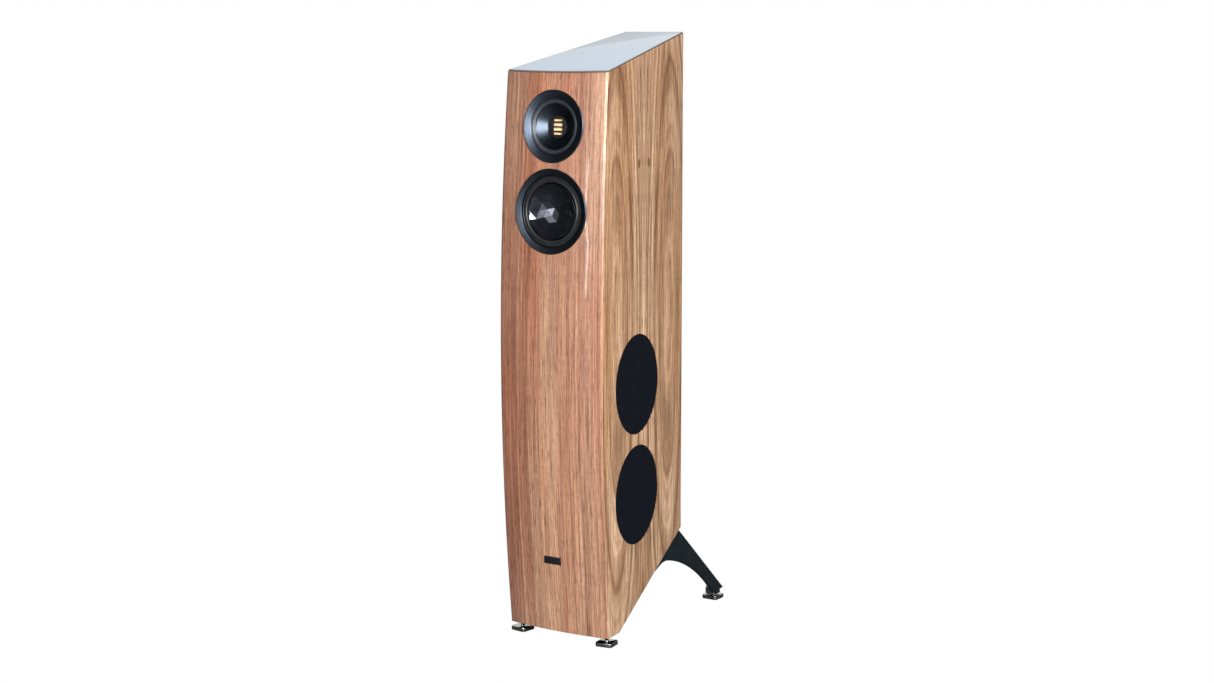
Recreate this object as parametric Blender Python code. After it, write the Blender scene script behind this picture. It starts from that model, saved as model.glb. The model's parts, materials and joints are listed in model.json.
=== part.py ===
# Floorstanding loudspeaker: a tapered cabinet with a bowed front, a folded-foil tweeter, a faceted
# midrange, two woofers in the right-hand side under cloth grilles, splayed rear legs and four feet.
import math

import bmesh
import bpy
from mathutils import Matrix, Vector

# Driving dimensions in metres. x = 0 is the middle, y = 0 the line of the front corners at the top
# and bottom ends, y grows to the back, and z = 0 is the floor. FRAME_SHIFT_Y then centres the depth.
HEIGHT = 1.163
FRONT_HEIGHT = 1.092
BASE_HEIGHT = 0.018
DEPTH = 0.339
HALF_WIDTH = 0.114
SIDE_TAPER = 0.136
BOW = 0.0255
CROWN = 0.009
FLAT_BASE = 0.048
CUT_HEIGHT = 0.163
WALL = 0.022
BACK_WALL = 0.018
BASE_WALL = 0.018
GLASS = 0.003
GAP = 0.0003

TWEETER_Z = 0.988
MID_Z = 0.830
RING_INSET = 0.002
WOOFER_Y = 0.127
WOOFER_Z = {"upper": 0.491, "lower": 0.274}
BADGE_Z = 0.161
BADGE_SIZE = (0.038, 0.015, 0.0014)
PORT_Z = 0.620
CROSSOVER_Z = 0.455
TERMINAL_Z = 0.235
SHELF_Z = 0.700
BRACE_Z = 0.3735

FOOT_SIZE = 0.035
FOOT_THICKNESS = 0.008
FOOT_CORNER = 0.006
STEM_RADIUS = 0.004
FRONT_FOOT = (0.0985, 0.017)
REAR_FOOT = (0.097, 0.421)
BOSS_RADIUS = 0.0155
BOSS_LOW = 0.0105
BOSS_HIGH = 0.025

LEG_INSET = 0.003
LEG_THICKNESS = 0.006
LEG_TIP = (0.1112, 0.4370, 0.0210)
FLANGE_INNER = 0.046
FLANGE_THICKNESS = 0.0056
SCREW_INSET = 0.034
SCREW_Y = (0.245, 0.305)

FRAME_SHIFT_Y = (REAR_FOOT[1] + FOOT_SIZE / 2 - BOW - CROWN) / 2

FINE = 36
ROUND = 24
SMALL = 12

SIDE_ANGLE = math.atan(SIDE_TAPER)
CUT_SLOPE = (CUT_HEIGHT - BASE_HEIGHT) / (DEPTH - FLAT_BASE)
CUT_ANGLE = math.atan(CUT_SLOPE)
MID_HEIGHT = (FRONT_HEIGHT + BASE_HEIGHT) / 2
HALF_HEIGHT = (FRONT_HEIGHT - BASE_HEIGHT) / 2


# The cabinet's outer surfaces.
def bow_at(z):
    return BOW * (1 - ((z - MID_HEIGHT) / HALF_HEIGHT) ** 2)


def front_slope(z):
    return 2 * BOW * (z - MID_HEIGHT) / HALF_HEIGHT ** 2


def side_x(y, inset=0.0):
    return HALF_WIDTH - SIDE_TAPER * y - inset * math.hypot(1, SIDE_TAPER)


def top_z(y):
    return FRONT_HEIGHT + (HEIGHT - FRONT_HEIGHT) * y / DEPTH


def wood_top_z(y):
    return top_z(y) - GLASS - GAP


def cut_z(y):
    return BASE_HEIGHT + (y - FLAT_BASE) * CUT_SLOPE


# Scene helpers.
def clear_scene():
    for thing in list(bpy.data.objects):
        bpy.data.objects.remove(thing, do_unlink=True)


def finish(name, rgb, roughness, metallic=0.0):
    made = bpy.data.materials.new(name)
    made.use_nodes = True
    shader = made.node_tree.nodes["Principled BSDF"]
    shader.inputs["Base Color"].default_value = (*rgb, 1.0)
    shader.inputs["Roughness"].default_value = roughness
    shader.inputs["Metallic"].default_value = metallic
    made.diffuse_color = (*rgb, 1.0)
    return made


def empty(name, location, rotation=(0.0, 0.0, 0.0), parent=None):
    made = bpy.data.objects.new(name, None)
    made.location = location
    made.rotation_euler = rotation
    made.parent = parent
    bpy.context.scene.collection.objects.link(made)
    return made


def solid(name, bm, surface, parent, location=(0.0, 0.0, 0.0), rotation=(0.0, 0.0, 0.0), smooth=False):
    bmesh.ops.recalc_face_normals(bm, faces=bm.faces)
    mesh = bpy.data.meshes.new(name)
    bm.to_mesh(mesh)
    bm.free()
    if surface:
        mesh.materials.append(surface)
    if smooth:
        mesh.shade_smooth()
        mesh.set_sharp_from_angle(angle=math.radians(35))
    made = bpy.data.objects.new(name, mesh)
    made.location = location
    made.rotation_euler = rotation
    made.parent = parent
    bpy.context.scene.collection.objects.link(made)
    return made


def combine(target, tool, operation):
    tool.hide_render = True
    tool.display_type = "WIRE"
    step = target.modifiers.new(tool.name, "BOOLEAN")
    step.operation = operation
    step.solver = "EXACT"
    step.object = tool


def cut(target, tool):
    combine(target, tool, "DIFFERENCE")


def weld_on(target, tool):
    combine(target, tool, "UNION")


# Shape helpers.
def turned(profile, segments):
    """A closed profile of (radius, height) points, spun round the local Z axis."""
    bm = bmesh.new()
    points = [bm.verts.new((radius, 0.0, height)) for radius, height in profile]
    on_axis = profile[0][0] == 0 and profile[-1][0] == 0
    pairs = list(zip(points, points[1:]))
    if not on_axis:
        pairs.append((points[-1], points[0]))
    edges = [bm.edges.new(pair) for pair in pairs]
    bmesh.ops.spin(bm, geom=points + edges, axis=(0, 0, 1), cent=(0, 0, 0), angle=math.tau, steps=segments)
    bmesh.ops.remove_doubles(bm, verts=bm.verts, dist=1e-6)
    return bm


def millimetres(*points):
    return [(radius / 1000, height / 1000) for radius, height in points]


def disc_cutter(radius, low, high, segments=SMALL):
    return turned([(0, low), (radius, low), (radius, high), (0, high)], segments)


def prism(outline, low_x, high_x):
    """A (y, z) outline drawn at low_x(y) and extruded to high_x(y)."""
    bm = bmesh.new()
    face = bm.faces.new([bm.verts.new((low_x(y), y, z)) for y, z in outline])
    grown = bmesh.ops.extrude_face_region(bm, geom=[face])
    for item in grown["geom"]:
        if isinstance(item, bmesh.types.BMVert):
            item.co.x = high_x(item.co.y)
    return bm


def plate(outline, thickness):
    """An (x, y) outline at z = 0, extruded along +Z."""
    bm = bmesh.new()
    face = bm.faces.new([bm.verts.new((x, y, 0.0)) for x, y in outline])
    grown = bmesh.ops.extrude_face_region(bm, geom=[face])
    for item in grown["geom"]:
        if isinstance(item, bmesh.types.BMVert):
            item.co.z += thickness
    return bm


def block(low, high):
    outline = [(low[0], low[1]), (high[0], low[1]), (high[0], high[1]), (low[0], high[1])]
    bm = plate(outline, high[2] - low[2])
    bmesh.ops.translate(bm, verts=bm.verts, vec=(0, 0, low[2]))
    return bm


def arc(centre, radius, start, end, steps):
    """Points on a circle, with the angles in degrees."""
    angles = [math.radians(start + (end - start) * i / steps) for i in range(steps + 1)]
    return [(centre[0] + radius * math.cos(a), centre[1] + radius * math.sin(a)) for a in angles]


# Cabinet.
def inner_panel(name, outline, surface, frame):
    """A panel that fits between the two sides."""
    inset = WALL + GAP
    bm = prism(outline, lambda y: -side_x(y, inset), lambda y: side_x(y, inset))
    return solid(name, bm, surface, frame)


def front_baffle(surface, frame):
    """A slab drawn as a unit grid, extruded, then shaped to the bow, the crown and the roof line."""
    bm = bmesh.new()
    bmesh.ops.create_grid(bm, x_segments=6, y_segments=12, size=1.0)
    grown = bmesh.ops.extrude_face_region(bm, geom=bm.faces[:])
    back = [item for item in grown["geom"] if isinstance(item, bmesh.types.BMVert)]
    for vert in back:
        vert.co.z = 1.0
    for vert in bm.verts:
        across, up, inner = vert.co
        rise = (up + 1) / 2
        z = BASE_HEIGHT + rise * (FRONT_HEIGHT - GLASS - GAP - BASE_HEIGHT)
        bow = bow_at(z)
        y = WALL if inner > 0.5 else -bow - CROWN * (1 - across ** 2)
        z = BASE_HEIGHT + rise * (wood_top_z(y) - BASE_HEIGHT)
        vert.co = (across * side_x(WALL if inner > 0.5 else -bow), y, z)
    faces = [face for face in bm.faces if all(vert in back for vert in face.verts)]
    bmesh.ops.dissolve_faces(bm, faces=faces, use_verts=True)
    return solid("front_baffle", bm, surface, frame, smooth=True)


def side_panel(name, side, surface, frame):
    start = WALL + GAP
    end = DEPTH - BACK_WALL - GAP
    outline = [
        (start, BASE_HEIGHT),
        (FLAT_BASE, BASE_HEIGHT),
        (end, cut_z(end)),
        (end, wood_top_z(end)),
        (start, wood_top_z(start)),
    ]
    bm = prism(outline, lambda y: side * side_x(y, WALL), lambda y: side * side_x(y))
    return solid(name, bm, surface, frame)


def back_panel(surface, frame):
    start = DEPTH - BACK_WALL
    outline = [
        (start, cut_z(start)),
        (DEPTH, CUT_HEIGHT),
        (DEPTH, wood_top_z(DEPTH)),
        (start, wood_top_z(start)),
    ]
    bm = prism(outline, lambda y: -side_x(y), lambda y: side_x(y))
    return solid("back_panel", bm, surface, frame)


def top_glass(surface, frame):
    inset = 0.0012
    width = side_x(0) - inset
    steps = 10
    outline = []
    for i in range(steps + 1):
        across = 2 * i / steps - 1
        outline.append((across * width, inset - CROWN * (1 - across ** 2)))
    outline.append((side_x(DEPTH) - inset, DEPTH - inset))
    outline.append((-side_x(DEPTH) + inset, DEPTH - inset))
    bm = plate(outline, GLASS)
    for vert in bm.verts:
        vert.co.z += top_z(vert.co.y) - GLASS
    return solid("top_glass", bm, surface, frame)


def cabinet(wood, board, glass, frame):
    start = WALL + GAP
    end = DEPTH - BACK_WALL - GAP
    step = BASE_WALL / math.cos(CUT_ANGLE)
    joint = FLAT_BASE + 0.0017
    parts = {
        "front": front_baffle(wood, frame),
        "right": side_panel("side_panel_right", 1, wood, frame),
        "left": side_panel("side_panel_left", -1, wood, frame),
        "back": back_panel(wood, frame),
        "glass": top_glass(glass, frame),
    }
    roof = [
        (start, wood_top_z(start) - BASE_WALL),
        (end, wood_top_z(end) - BASE_WALL),
        (end, wood_top_z(end)),
        (start, wood_top_z(start)),
    ]
    inner_panel("roof_panel", roof, board, frame)
    flat = [
        (start, BASE_HEIGHT),
        (FLAT_BASE, BASE_HEIGHT),
        (joint, cut_z(joint)),
        (joint, BASE_HEIGHT + BASE_WALL),
        (start, BASE_HEIGHT + BASE_WALL),
    ]
    inner_panel("bottom_panel", flat, board, frame)
    joint += GAP
    sloped = [
        (joint, cut_z(joint)),
        (end, cut_z(end)),
        (end, cut_z(end) + step),
        (joint, cut_z(joint) + step),
    ]
    parts["sloped"] = inner_panel("sloped_base_panel", sloped, board, frame)
    shelf = [(start, SHELF_Z), (end, SHELF_Z), (end, SHELF_Z + BASE_WALL), (start, SHELF_Z + BASE_WALL)]
    inner_panel("divider_shelf", shelf, board, frame)
    brace = [(start, BRACE_Z), (end, BRACE_Z), (end, BRACE_Z + BASE_WALL), (start, BRACE_Z + BASE_WALL)]
    brace = inner_panel("window_brace", brace, board, frame)
    window = block((-0.036, 0.120, BRACE_Z - 0.01), (0.036, 0.230, BRACE_Z + BASE_WALL + 0.01))
    cut(brace, solid("window_cutter", window, None, frame))
    return parts


# Driver pieces that the midrange and the woofers share.
def half_roll(name, outer, inner, height, crest, thickness, surface, axis, segments):
    """A rubber surround: an outer lip, a half roll of the given crest and an inner lip."""
    lip = 0.0035
    centre = (outer + inner) / 2 - lip / 4
    radius = centre - inner - 0.0006
    squash = crest / radius
    top = [(r, height + (z - height) * squash) for r, z in arc((centre, height), radius, 0, 180, 4)]
    low = [
        (r, height - thickness + (z - height) * squash)
        for r, z in arc((centre, height), radius - thickness, 180, 0, 4)
    ]
    profile = [(outer, height)] + top + [(inner, height), (inner, height - thickness)] + low
    profile.append((outer, height - thickness))
    return solid(name, turned(profile, segments), surface, axis, smooth=True)


def spider(name, inner, outer, height, surface, axis):
    """A corrugated damper disc."""
    waves = 2
    steps = 2 * waves
    rise = 0.0012
    thickness = 0.0006
    top = []
    for i in range(steps + 1):
        radius = inner + (outer - inner) * i / steps
        top.append((radius, height + (rise if i % 2 else 0.0)))
    low = [(radius, z - thickness) for radius, z in reversed(top)]
    return solid(name, turned(top + low, ROUND), surface, axis, smooth=True)


def magnet(name, radius, face, back, coil, groove, surface, axis):
    """A pot magnet with the annular gap that the voice coil runs in."""
    clear = 0.0012
    profile = [
        (0, back),
        (radius - 0.002, back),
        (radius, back + 0.002),
        (radius, face),
        (coil[1] + clear, face),
        (coil[1] + clear, groove),
        (coil[0] - clear, groove),
        (coil[0] - clear, face + 0.004),
        (0, face + 0.004),
    ]
    return solid(name, turned(profile, ROUND), surface, axis, smooth=True)


def basket(name, rim, seats, spoke_ends, surface, axis, segments):
    """A rim and inner seat rings joined by six straight spokes."""
    made = solid(name, turned(rim, segments), surface, axis, smooth=True)
    for number, seat in enumerate(seats):
        weld_on(made, solid(f"{name}_seat_{number}", turned(seat, ROUND), None, axis))
    (top_radius, top_height), (low_radius, low_height) = spoke_ends
    run = Vector((low_radius - top_radius, 0.0, low_height - top_height))
    side = Vector((0.0, 0.005, 0.0))
    thick = run.cross(side).normalized() * 0.002
    start = Vector((top_radius, 0.0, top_height))
    bm = bmesh.new()
    corners = ((-1, -1), (1, -1), (1, 1), (-1, 1))
    face = bm.faces.new([bm.verts.new(start + a * side + b * thick) for a, b in corners])
    grown = bmesh.ops.extrude_face_region(bm, geom=[face])
    tips = [item for item in grown["geom"] if isinstance(item, bmesh.types.BMVert)]
    bmesh.ops.translate(bm, verts=tips, vec=run)
    bar = bm.verts[:] + bm.edges[:] + bm.faces[:]
    turn = math.tau / 6
    bmesh.ops.spin(bm, geom=bar, axis=(0, 0, 1), cent=(0, 0, 0), angle=5 * turn, steps=5, use_duplicate=True)
    weld_on(made, solid(f"{name}_spokes", bm, None, axis))
    return made


# Tweeter.
def tweeter(baffle, metal, light_metal, foil, iron, frame):
    surface_y = -bow_at(TWEETER_Z) - CROWN
    tilt = math.pi / 2 - math.atan(front_slope(TWEETER_Z))
    axis = empty("tweeter_axis", (0, surface_y + RING_INSET, TWEETER_Z), (tilt, 0, 0), frame)
    seat = millimetres(
        (0, 30), (68.4, 30), (68.4, -9.3), (50.4, -9.3), (50.4, -10.6), (46, -10.6), (46, -80), (0, -80)
    )
    cut(baffle, solid("tweeter_seat_cutter", turned(seat, FINE), None, axis))
    ring = millimetres(
        (68, -1), (67.2, 0), (62, -1.5), (53, -3.6), (52.4, -4.6), (50.3, -4.6), (50.3, -9), (68, -9)
    )
    solid("tweeter_trim_ring", turned(ring, FINE), metal, axis, smooth=True)
    horn = millimetres(
        (50, -4.8), (43.6, -6.6), (42.8, -7.8), (34, -11.6), (25, -14.9), (21.4, -16), (21.4, -17),
        (24.6, -17), (44.6, -10.3), (50, -10.3),
    )
    solid("tweeter_waveguide", turned(horn, FINE), light_metal, axis, smooth=True)
    plate_disc = turned(millimetres((0, -17.3), (24.4, -17.3), (24.4, -19.4), (0, -19.4)), ROUND)
    pole = solid("tweeter_pole_plate", plate_disc, metal, axis, smooth=True)
    slots = ((0.0124, 0.004), (0.0042, 0.0056), (-0.0042, 0.0056), (-0.0124, 0.004))
    for number, (height, tall) in enumerate(slots):
        reach = 0.0105 if abs(height) < 0.01 else 0.0098
        slot = block((-reach, height - tall / 2, -0.022), (reach, height + tall / 2, -0.015))
        cut(pole, solid(f"tweeter_slot_cutter_{number}", slot, None, axis))
    pleats = 12
    pitch = 0.002
    front = [((i - pleats) * pitch / 2, -0.0202 if i % 2 else -0.0222) for i in range(2 * pleats + 1)]
    back = [(x, z - 0.0012) for x, z in reversed(front)]
    folded = bmesh.new()
    face = folded.faces.new([folded.verts.new((x, -0.016, z)) for x, z in front + back])
    grown = bmesh.ops.extrude_face_region(folded, geom=[face])
    ends = [item for item in grown["geom"] if isinstance(item, bmesh.types.BMVert)]
    bmesh.ops.translate(folded, verts=ends, vec=(0, 0.032, 0))
    solid("tweeter_foil", folded, foil, axis)
    body = millimetres((0, -24), (36, -24), (38, -26), (38, -50), (36, -52), (0, -52))
    solid("tweeter_magnet", turned(body, ROUND), iron, axis, smooth=True)


# Midrange.
def faceted_cone(name, surface, axis):
    """A bowl pressed into flat facets: rings of points, each turned half a step from the last."""
    count = 20
    thickness = 0.0014
    rings = millimetres(
        (54.2, -6.4), (48, -12), (41, -17.1), (34, -21.1), (27, -24.1), (20, -26.4), (13, -28), (6.5, -28.8),
    )
    bm = bmesh.new()
    layers = []
    for drop in (0.0, thickness):
        layer = []
        for number, (radius, height) in enumerate(rings):
            ring = []
            for i in range(count):
                angle = math.tau * (i + number / 2) / count
                spot = (radius * math.cos(angle), radius * math.sin(angle), height - drop)
                ring.append(bm.verts.new(spot))
            layer.append(ring)
        tip = bm.verts.new((0, 0, -0.0291 - drop))
        for i in range(count):
            j = (i + 1) % count
            for outer, inner in zip(layer, layer[1:]):
                bm.faces.new((outer[i], outer[j], inner[i]))
                bm.faces.new((outer[j], inner[j], inner[i]))
            bm.faces.new((layer[-1][i], layer[-1][j], tip))
        layers.append(layer)
    (front, *_), (back, *_) = layers
    for i in range(count):
        j = (i + 1) % count
        bm.faces.new((front[i], front[j], back[j], back[i]))
    cone = solid(name, bm, surface, axis)
    former = turned(millimetres((12, -65), (13.4, -65), (13.4, -28.7), (12, -28.7)), ROUND)
    weld_on(cone, solid(f"{name}_former", former, None, axis))


def midrange(baffle, finishes, frame):
    surface_y = -bow_at(MID_Z) - CROWN
    tilt = math.pi / 2 - math.atan(front_slope(MID_Z))
    axis = empty("mid_axis", (0, surface_y + RING_INSET, MID_Z), (tilt, 0, 0), frame)
    seat = millimetres((0, 30), (80.4, 30), (80.4, -11.4), (60.3, -11.4), (60.3, -110), (0, -110))
    cut(baffle, solid("mid_seat_cutter", turned(seat, FINE), None, axis))
    ring = millimetres((80, -0.9), (79.1, 0), (69, -1.9), (67, -2.9), (67, -7), (80, -7))
    solid("mid_trim_ring", turned(ring, FINE), finishes["satin"], axis, smooth=True)
    rim = millimetres(
        (79.6, -7.3), (66.6, -7.3), (66.6, -4.6), (63.3, -4.6), (63.3, -7.6), (56.5, -7.6), (56.5, -11),
        (79.6, -11),
    )
    landing = millimetres((34, -44.6), (41, -44.6), (41, -47), (34, -47))
    low = millimetres((26, -51.6), (40, -51.6), (40, -54.4), (26, -54.4))
    spoke_ends = ((0.058, -0.0098), (0.034, -0.0535))
    basket("mid_basket", rim, (landing, low), spoke_ends, finishes["satin"], axis, FINE)
    half_roll("mid_surround", 0.0630, 0.0545, -0.0062, 0.0032, 0.0010, finishes["rubber"], axis, FINE)
    faceted_cone("mid_cone", finishes["cone"], axis)
    spider("mid_spider", 0.0148, 0.0360, -0.0435, finishes["damper"], axis)
    magnet("mid_magnet", 0.040, -0.0547, -0.088, (0.0120, 0.0134), -0.0750, finishes["iron"], axis)
    depth = empty("mid_chamber_axis", (0, WALL + GAP, MID_Z), (math.pi / 2, 0, 0), frame)
    cup = millimetres((0, -165), (60, -165), (82, 0), (78.5, 0), (57, -161), (0, -161))
    solid("mid_chamber", turned(cup, ROUND), finishes["plastic"], depth, smooth=True)


# Woofers and their lift-off grilles.
def woofer(place, side, finishes, frame):
    spot = (side_x(WOOFER_Y), WOOFER_Y, WOOFER_Z[place])
    axis = empty(f"woofer_{place}_axis", spot, (0, math.pi / 2, SIDE_ANGLE), frame)
    seat = millimetres(
        (0, 20), (97.4, 20), (97.4, -6.2), (90.5, -6.2), (90.5, -10.9), (80.5, -10.9), (80.5, -60), (0, -60)
    )
    cut(side, solid(f"woofer_{place}_seat_cutter", turned(seat, FINE), None, axis))
    rim = millimetres(
        (90, -6.5), (77.6, -6.5), (77.6, -16.5), (72.5, -16.5), (72.5, -19.5), (80, -19.5), (80, -10.6),
        (90, -10.6),
    )
    landing = millimetres((42, -51.6), (50, -51.6), (50, -54), (42, -54))
    low = millimetres((30, -58), (48, -58), (48, -61), (30, -61))
    ends = ((0.0765, -0.0180), (0.0400, -0.0595))
    basket(f"woofer_{place}_basket", rim, (landing, low), ends, finishes["satin"], axis, FINE)
    rubber = finishes["rubber"]
    half_roll(f"woofer_{place}_surround", 0.0773, 0.0630, -0.0152, 0.0050, 0.0010, rubber, axis, ROUND)
    cone = millimetres(
        (0, -33.4), (10, -34.8), (15.8, -38.6), (15.8, -74), (17.6, -74), (17.6, -39.4), (20, -35.6),
        (62.6, -17), (62.6, -15.6), (20, -34), (17.6, -37), (10, -33.2), (0, -32),
    )
    solid(f"woofer_{place}_cone", turned(cone, ROUND), finishes["paper"], axis, smooth=True)
    spider(f"woofer_{place}_spider", 0.0180, 0.0444, -0.0506, finishes["damper"], axis)
    iron = finishes["iron"]
    magnet(f"woofer_{place}_magnet", 0.050, -0.0613, -0.102, (0.0158, 0.0176), -0.0830, iron, axis)
    frame_ring = millimetres((96.6, -1.8), (96.6, -5.8), (91, -5.8), (91, -1.8))
    solid(f"grille_{place}_frame", turned(frame_ring, FINE), finishes["plastic"], axis, smooth=True)
    sheet = millimetres((0, -0.4), (96.2, -0.4), (96.8, -0.8), (96.8, -1.5), (0, -1.5))
    solid(f"grille_{place}_cloth", turned(sheet, FINE), finishes["cloth"], axis, smooth=True)


# Stand: feet in front, splayed legs with feet behind.
def foot(name, spot, turn, stem_top, chrome, frame):
    axis = empty(f"{name}_axis", (spot[0], spot[1], 0), (0, 0, turn), frame)
    half = FOOT_SIZE / 2
    bm = block((-half, -half, 0), (half, half, FOOT_THICKNESS))
    corners = [edge for edge in bm.edges if edge.calc_length() < FOOT_SIZE / 2]
    bmesh.ops.bevel(bm, geom=corners, offset=FOOT_CORNER, segments=3, profile=0.5, affect="EDGES")
    solid(f"{name}_plate", bm, chrome, axis)
    low = FOOT_THICKNESS + GAP
    stem = turned([(0, low), (STEM_RADIUS, low), (STEM_RADIUS, stem_top), (0, stem_top)], SMALL)
    solid(f"{name}_stem", stem, chrome, axis, smooth=True)


def leg_frame(side):
    """The fin's plane: its local X runs up the cut edge of the cabinet, and its local Y down the fin."""
    corner = Vector((side_x(DEPTH) - LEG_INSET, DEPTH, CUT_HEIGHT))
    along = Vector((-SIDE_TAPER, 1.0, CUT_SLOPE)).normalized()
    normal = along.cross(Vector(LEG_TIP) - corner).normalized()
    down = normal.cross(along)
    axes = Matrix((along, down, normal)).transposed().to_4x4()
    placed = Matrix.Translation(corner) @ axes
    return placed if side > 0 else Matrix.Scale(-1, 4, (1, 0, 0)) @ placed


def placed_solid(name, bm, matrix, surface, parent, smooth=False):
    """A solid whose shape is drawn in a slanted frame."""
    bmesh.ops.transform(bm, matrix=matrix, verts=bm.verts)
    return solid(name, bm, surface, parent, smooth=smooth)


def rear_leg(word, side, sloped, black, steel, chrome, frame):
    matrix = leg_frame(side)
    top = 0.0006
    sweep = arc((-0.189, 0.1575), 0.173, -6, -56, 12)
    outline = [(-0.008, top), (0.019, 0.1777), (-0.0165, 0.1640)]
    outline += [point for point in sweep[1:]]
    outline += [(-0.104, 0.0090), (-0.115, 0.0066), (-0.127, 0.0048), (-0.140, 0.0036), (-0.140, top)]
    leg = placed_solid(f"rear_leg_{word}", plate(outline, LEG_THICKNESS), matrix, black, frame)
    start = 0.215
    end = 0.330
    flange = [
        (start, cut_z(start) - top),
        (end, cut_z(end) - top),
        (end, cut_z(end) - top - FLANGE_THICKNESS),
        (start, cut_z(start) - top - FLANGE_THICKNESS),
    ]
    band = prism(flange, lambda y: side * (side_x(y) - FLANGE_INNER), lambda y: side * (side_x(y) - 0.0062))
    weld_on(leg, solid(f"rear_leg_{word}_flange", band, None, frame))
    for number, y in enumerate(SCREW_Y, 1):
        spot = (side * (side_x(y) - SCREW_INSET), y, cut_z(y))
        turn = (CUT_ANGLE, 0, 0)
        screw = millimetres((0, -9), (5.4, -9), (5.4, -6), (2.5, -6), (2.5, 14), (0, 14))
        solid(f"leg_screw_{word}_{number}", turned(screw, SMALL), steel, frame, spot, turn, smooth=True)
        bore = disc_cutter(0.0028, -0.02, 0.0155)
        hole = solid(f"leg_screw_{word}_{number}_cutter", bore, None, frame, spot, turn)
        cut(leg, hole)
        cut(sloped, hole)
    inner = STEM_RADIUS + 0.0006
    ends = [(inner, BOSS_LOW), (BOSS_RADIUS, BOSS_LOW), (BOSS_RADIUS, BOSS_HIGH), (inner, BOSS_HIGH)]
    tube = turned(ends, ROUND)
    spot = (side * REAR_FOOT[0], REAR_FOOT[1], 0)
    boss = solid(f"rear_foot_boss_{word}", tube, chrome, frame, spot, smooth=True)
    trim = block((-0.06, 0.10, -0.03), (0.08, 0.24, LEG_THICKNESS + GAP))
    cut(boss, placed_solid(f"boss_{word}_cutter", trim, matrix, None, frame))


def stand(baffle, sloped, finishes, frame):
    for word, side in (("right", 1), ("left", -1)):
        spot = (side * FRONT_FOOT[0], FRONT_FOOT[1])
        foot(f"front_foot_{word}", spot, side * SIDE_ANGLE, 0.034, finishes["chrome"], frame)
        hole = disc_cutter(STEM_RADIUS + 0.0006, -0.01, 0.046)
        cut(baffle, solid(f"front_foot_{word}_cutter", hole, None, frame, (*spot, 0)))
        spot = (side * REAR_FOOT[0], REAR_FOOT[1])
        foot(f"rear_foot_{word}", spot, 0.0, 0.0235, finishes["chrome"], frame)
        rear_leg(word, side, sloped, finishes["leg"], finishes["steel"], finishes["chrome"], frame)


# Rear fittings and what hangs on them inside.
def port(back, surface, frame):
    axis = empty("port_axis", (0, DEPTH, PORT_Z), (-math.pi / 2, 0, 0), frame)
    cut(back, solid("port_cutter", disc_cutter(0.0315, -0.03, 0.03, ROUND), None, axis))
    tube = millimetres(
        (28, -125), (31, -125), (31, 0.3), (44, 0.3), (44, 2.8),
        (40.5, 3.8), (34, 1.6), (29.6, -6), (28, -14),
    )
    solid("port_tube", turned(tube, ROUND), surface, axis, smooth=True)


def terminals(back, finishes, frame):
    centre = empty("terminal_centre", (0, DEPTH, TERMINAL_Z), (0, 0, 0), frame)
    pocket = block((-0.0393, -0.005, -0.0473), (0.0393, 0.02, 0.0473))
    cut(back, solid("terminal_pocket_cutter", pocket, None, centre))
    through = block((-0.032, -0.03, -0.040), (0.032, 0.01, 0.040))
    cut(back, solid("terminal_hole_cutter", through, None, centre))
    plate_block = block((-0.039, -0.0047, -0.047), (0.039, -0.0007, 0.047))
    plate_solid = solid("terminal_plate", plate_block, finishes["plastic"], centre)
    for word, side in (("right", 1), ("left", -1)):
        axis = empty(f"binding_post_{word}_axis", (side * 0.0095, 0, 0), (-math.pi / 2, 0, 0), centre)
        cut(plate_solid, solid(f"binding_post_{word}_cutter", disc_cutter(0.0036, -0.02, 0.01), None, axis))
        post = millimetres((0, -16), (3, -16), (3, -0.3), (6, -0.3), (6, 2.6), (3, 2.6), (3, 19), (0, 19))
        solid(f"binding_post_{word}", turned(post, SMALL), finishes["brass"], axis, smooth=True)
        knob = millimetres((3.3, 2.9), (8, 2.9), (8.6, 3.6), (8.6, 15.6), (7.8, 16.8), (3.3, 16.8))
        solid(f"binding_knob_{word}", turned(knob, ROUND), finishes["plastic"], axis, smooth=True)


def crossover(surface, frame):
    spot = empty("crossover_spot", (0, DEPTH - BACK_WALL - GAP, CROSSOVER_Z), (math.pi / 2, 0, 0), frame)
    board = solid("crossover_board", block((-0.034, -0.05, 0.008), (0.034, 0.05, 0.0096)), surface, spot)
    for number, (x, y) in enumerate(((-0.028, -0.044), (0.028, -0.044), (-0.028, 0.044), (0.028, 0.044))):
        pillar = solid(f"crossover_pillar_{number}", disc_cutter(0.003, 0, 0.009), None, spot, (x, y, 0))
        weld_on(board, pillar)
    sunk = 0.0092
    items = ((0, 0.024, 0.019, 0.026), (-0.016, -0.022, 0.011, 0.034), (0.014, -0.022, 0.009, 0.030))
    for number, (x, y, radius, tall) in enumerate(items):
        can = disc_cutter(radius, sunk, sunk + tall)
        weld_on(board, solid(f"crossover_item_{number}", can, None, spot, (x, y, 0)))


def badge(surface, frame):
    tilt = math.pi / 2 - math.atan(front_slope(BADGE_Z))
    spot = (0, -bow_at(BADGE_Z) - CROWN - 0.0004, BADGE_Z)
    width, height, thickness = BADGE_SIZE
    plain = block((-width / 2, -height / 2, 0), (width / 2, height / 2, thickness))
    solid("badge", plain, surface, frame, spot, (tilt, 0, 0))


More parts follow.
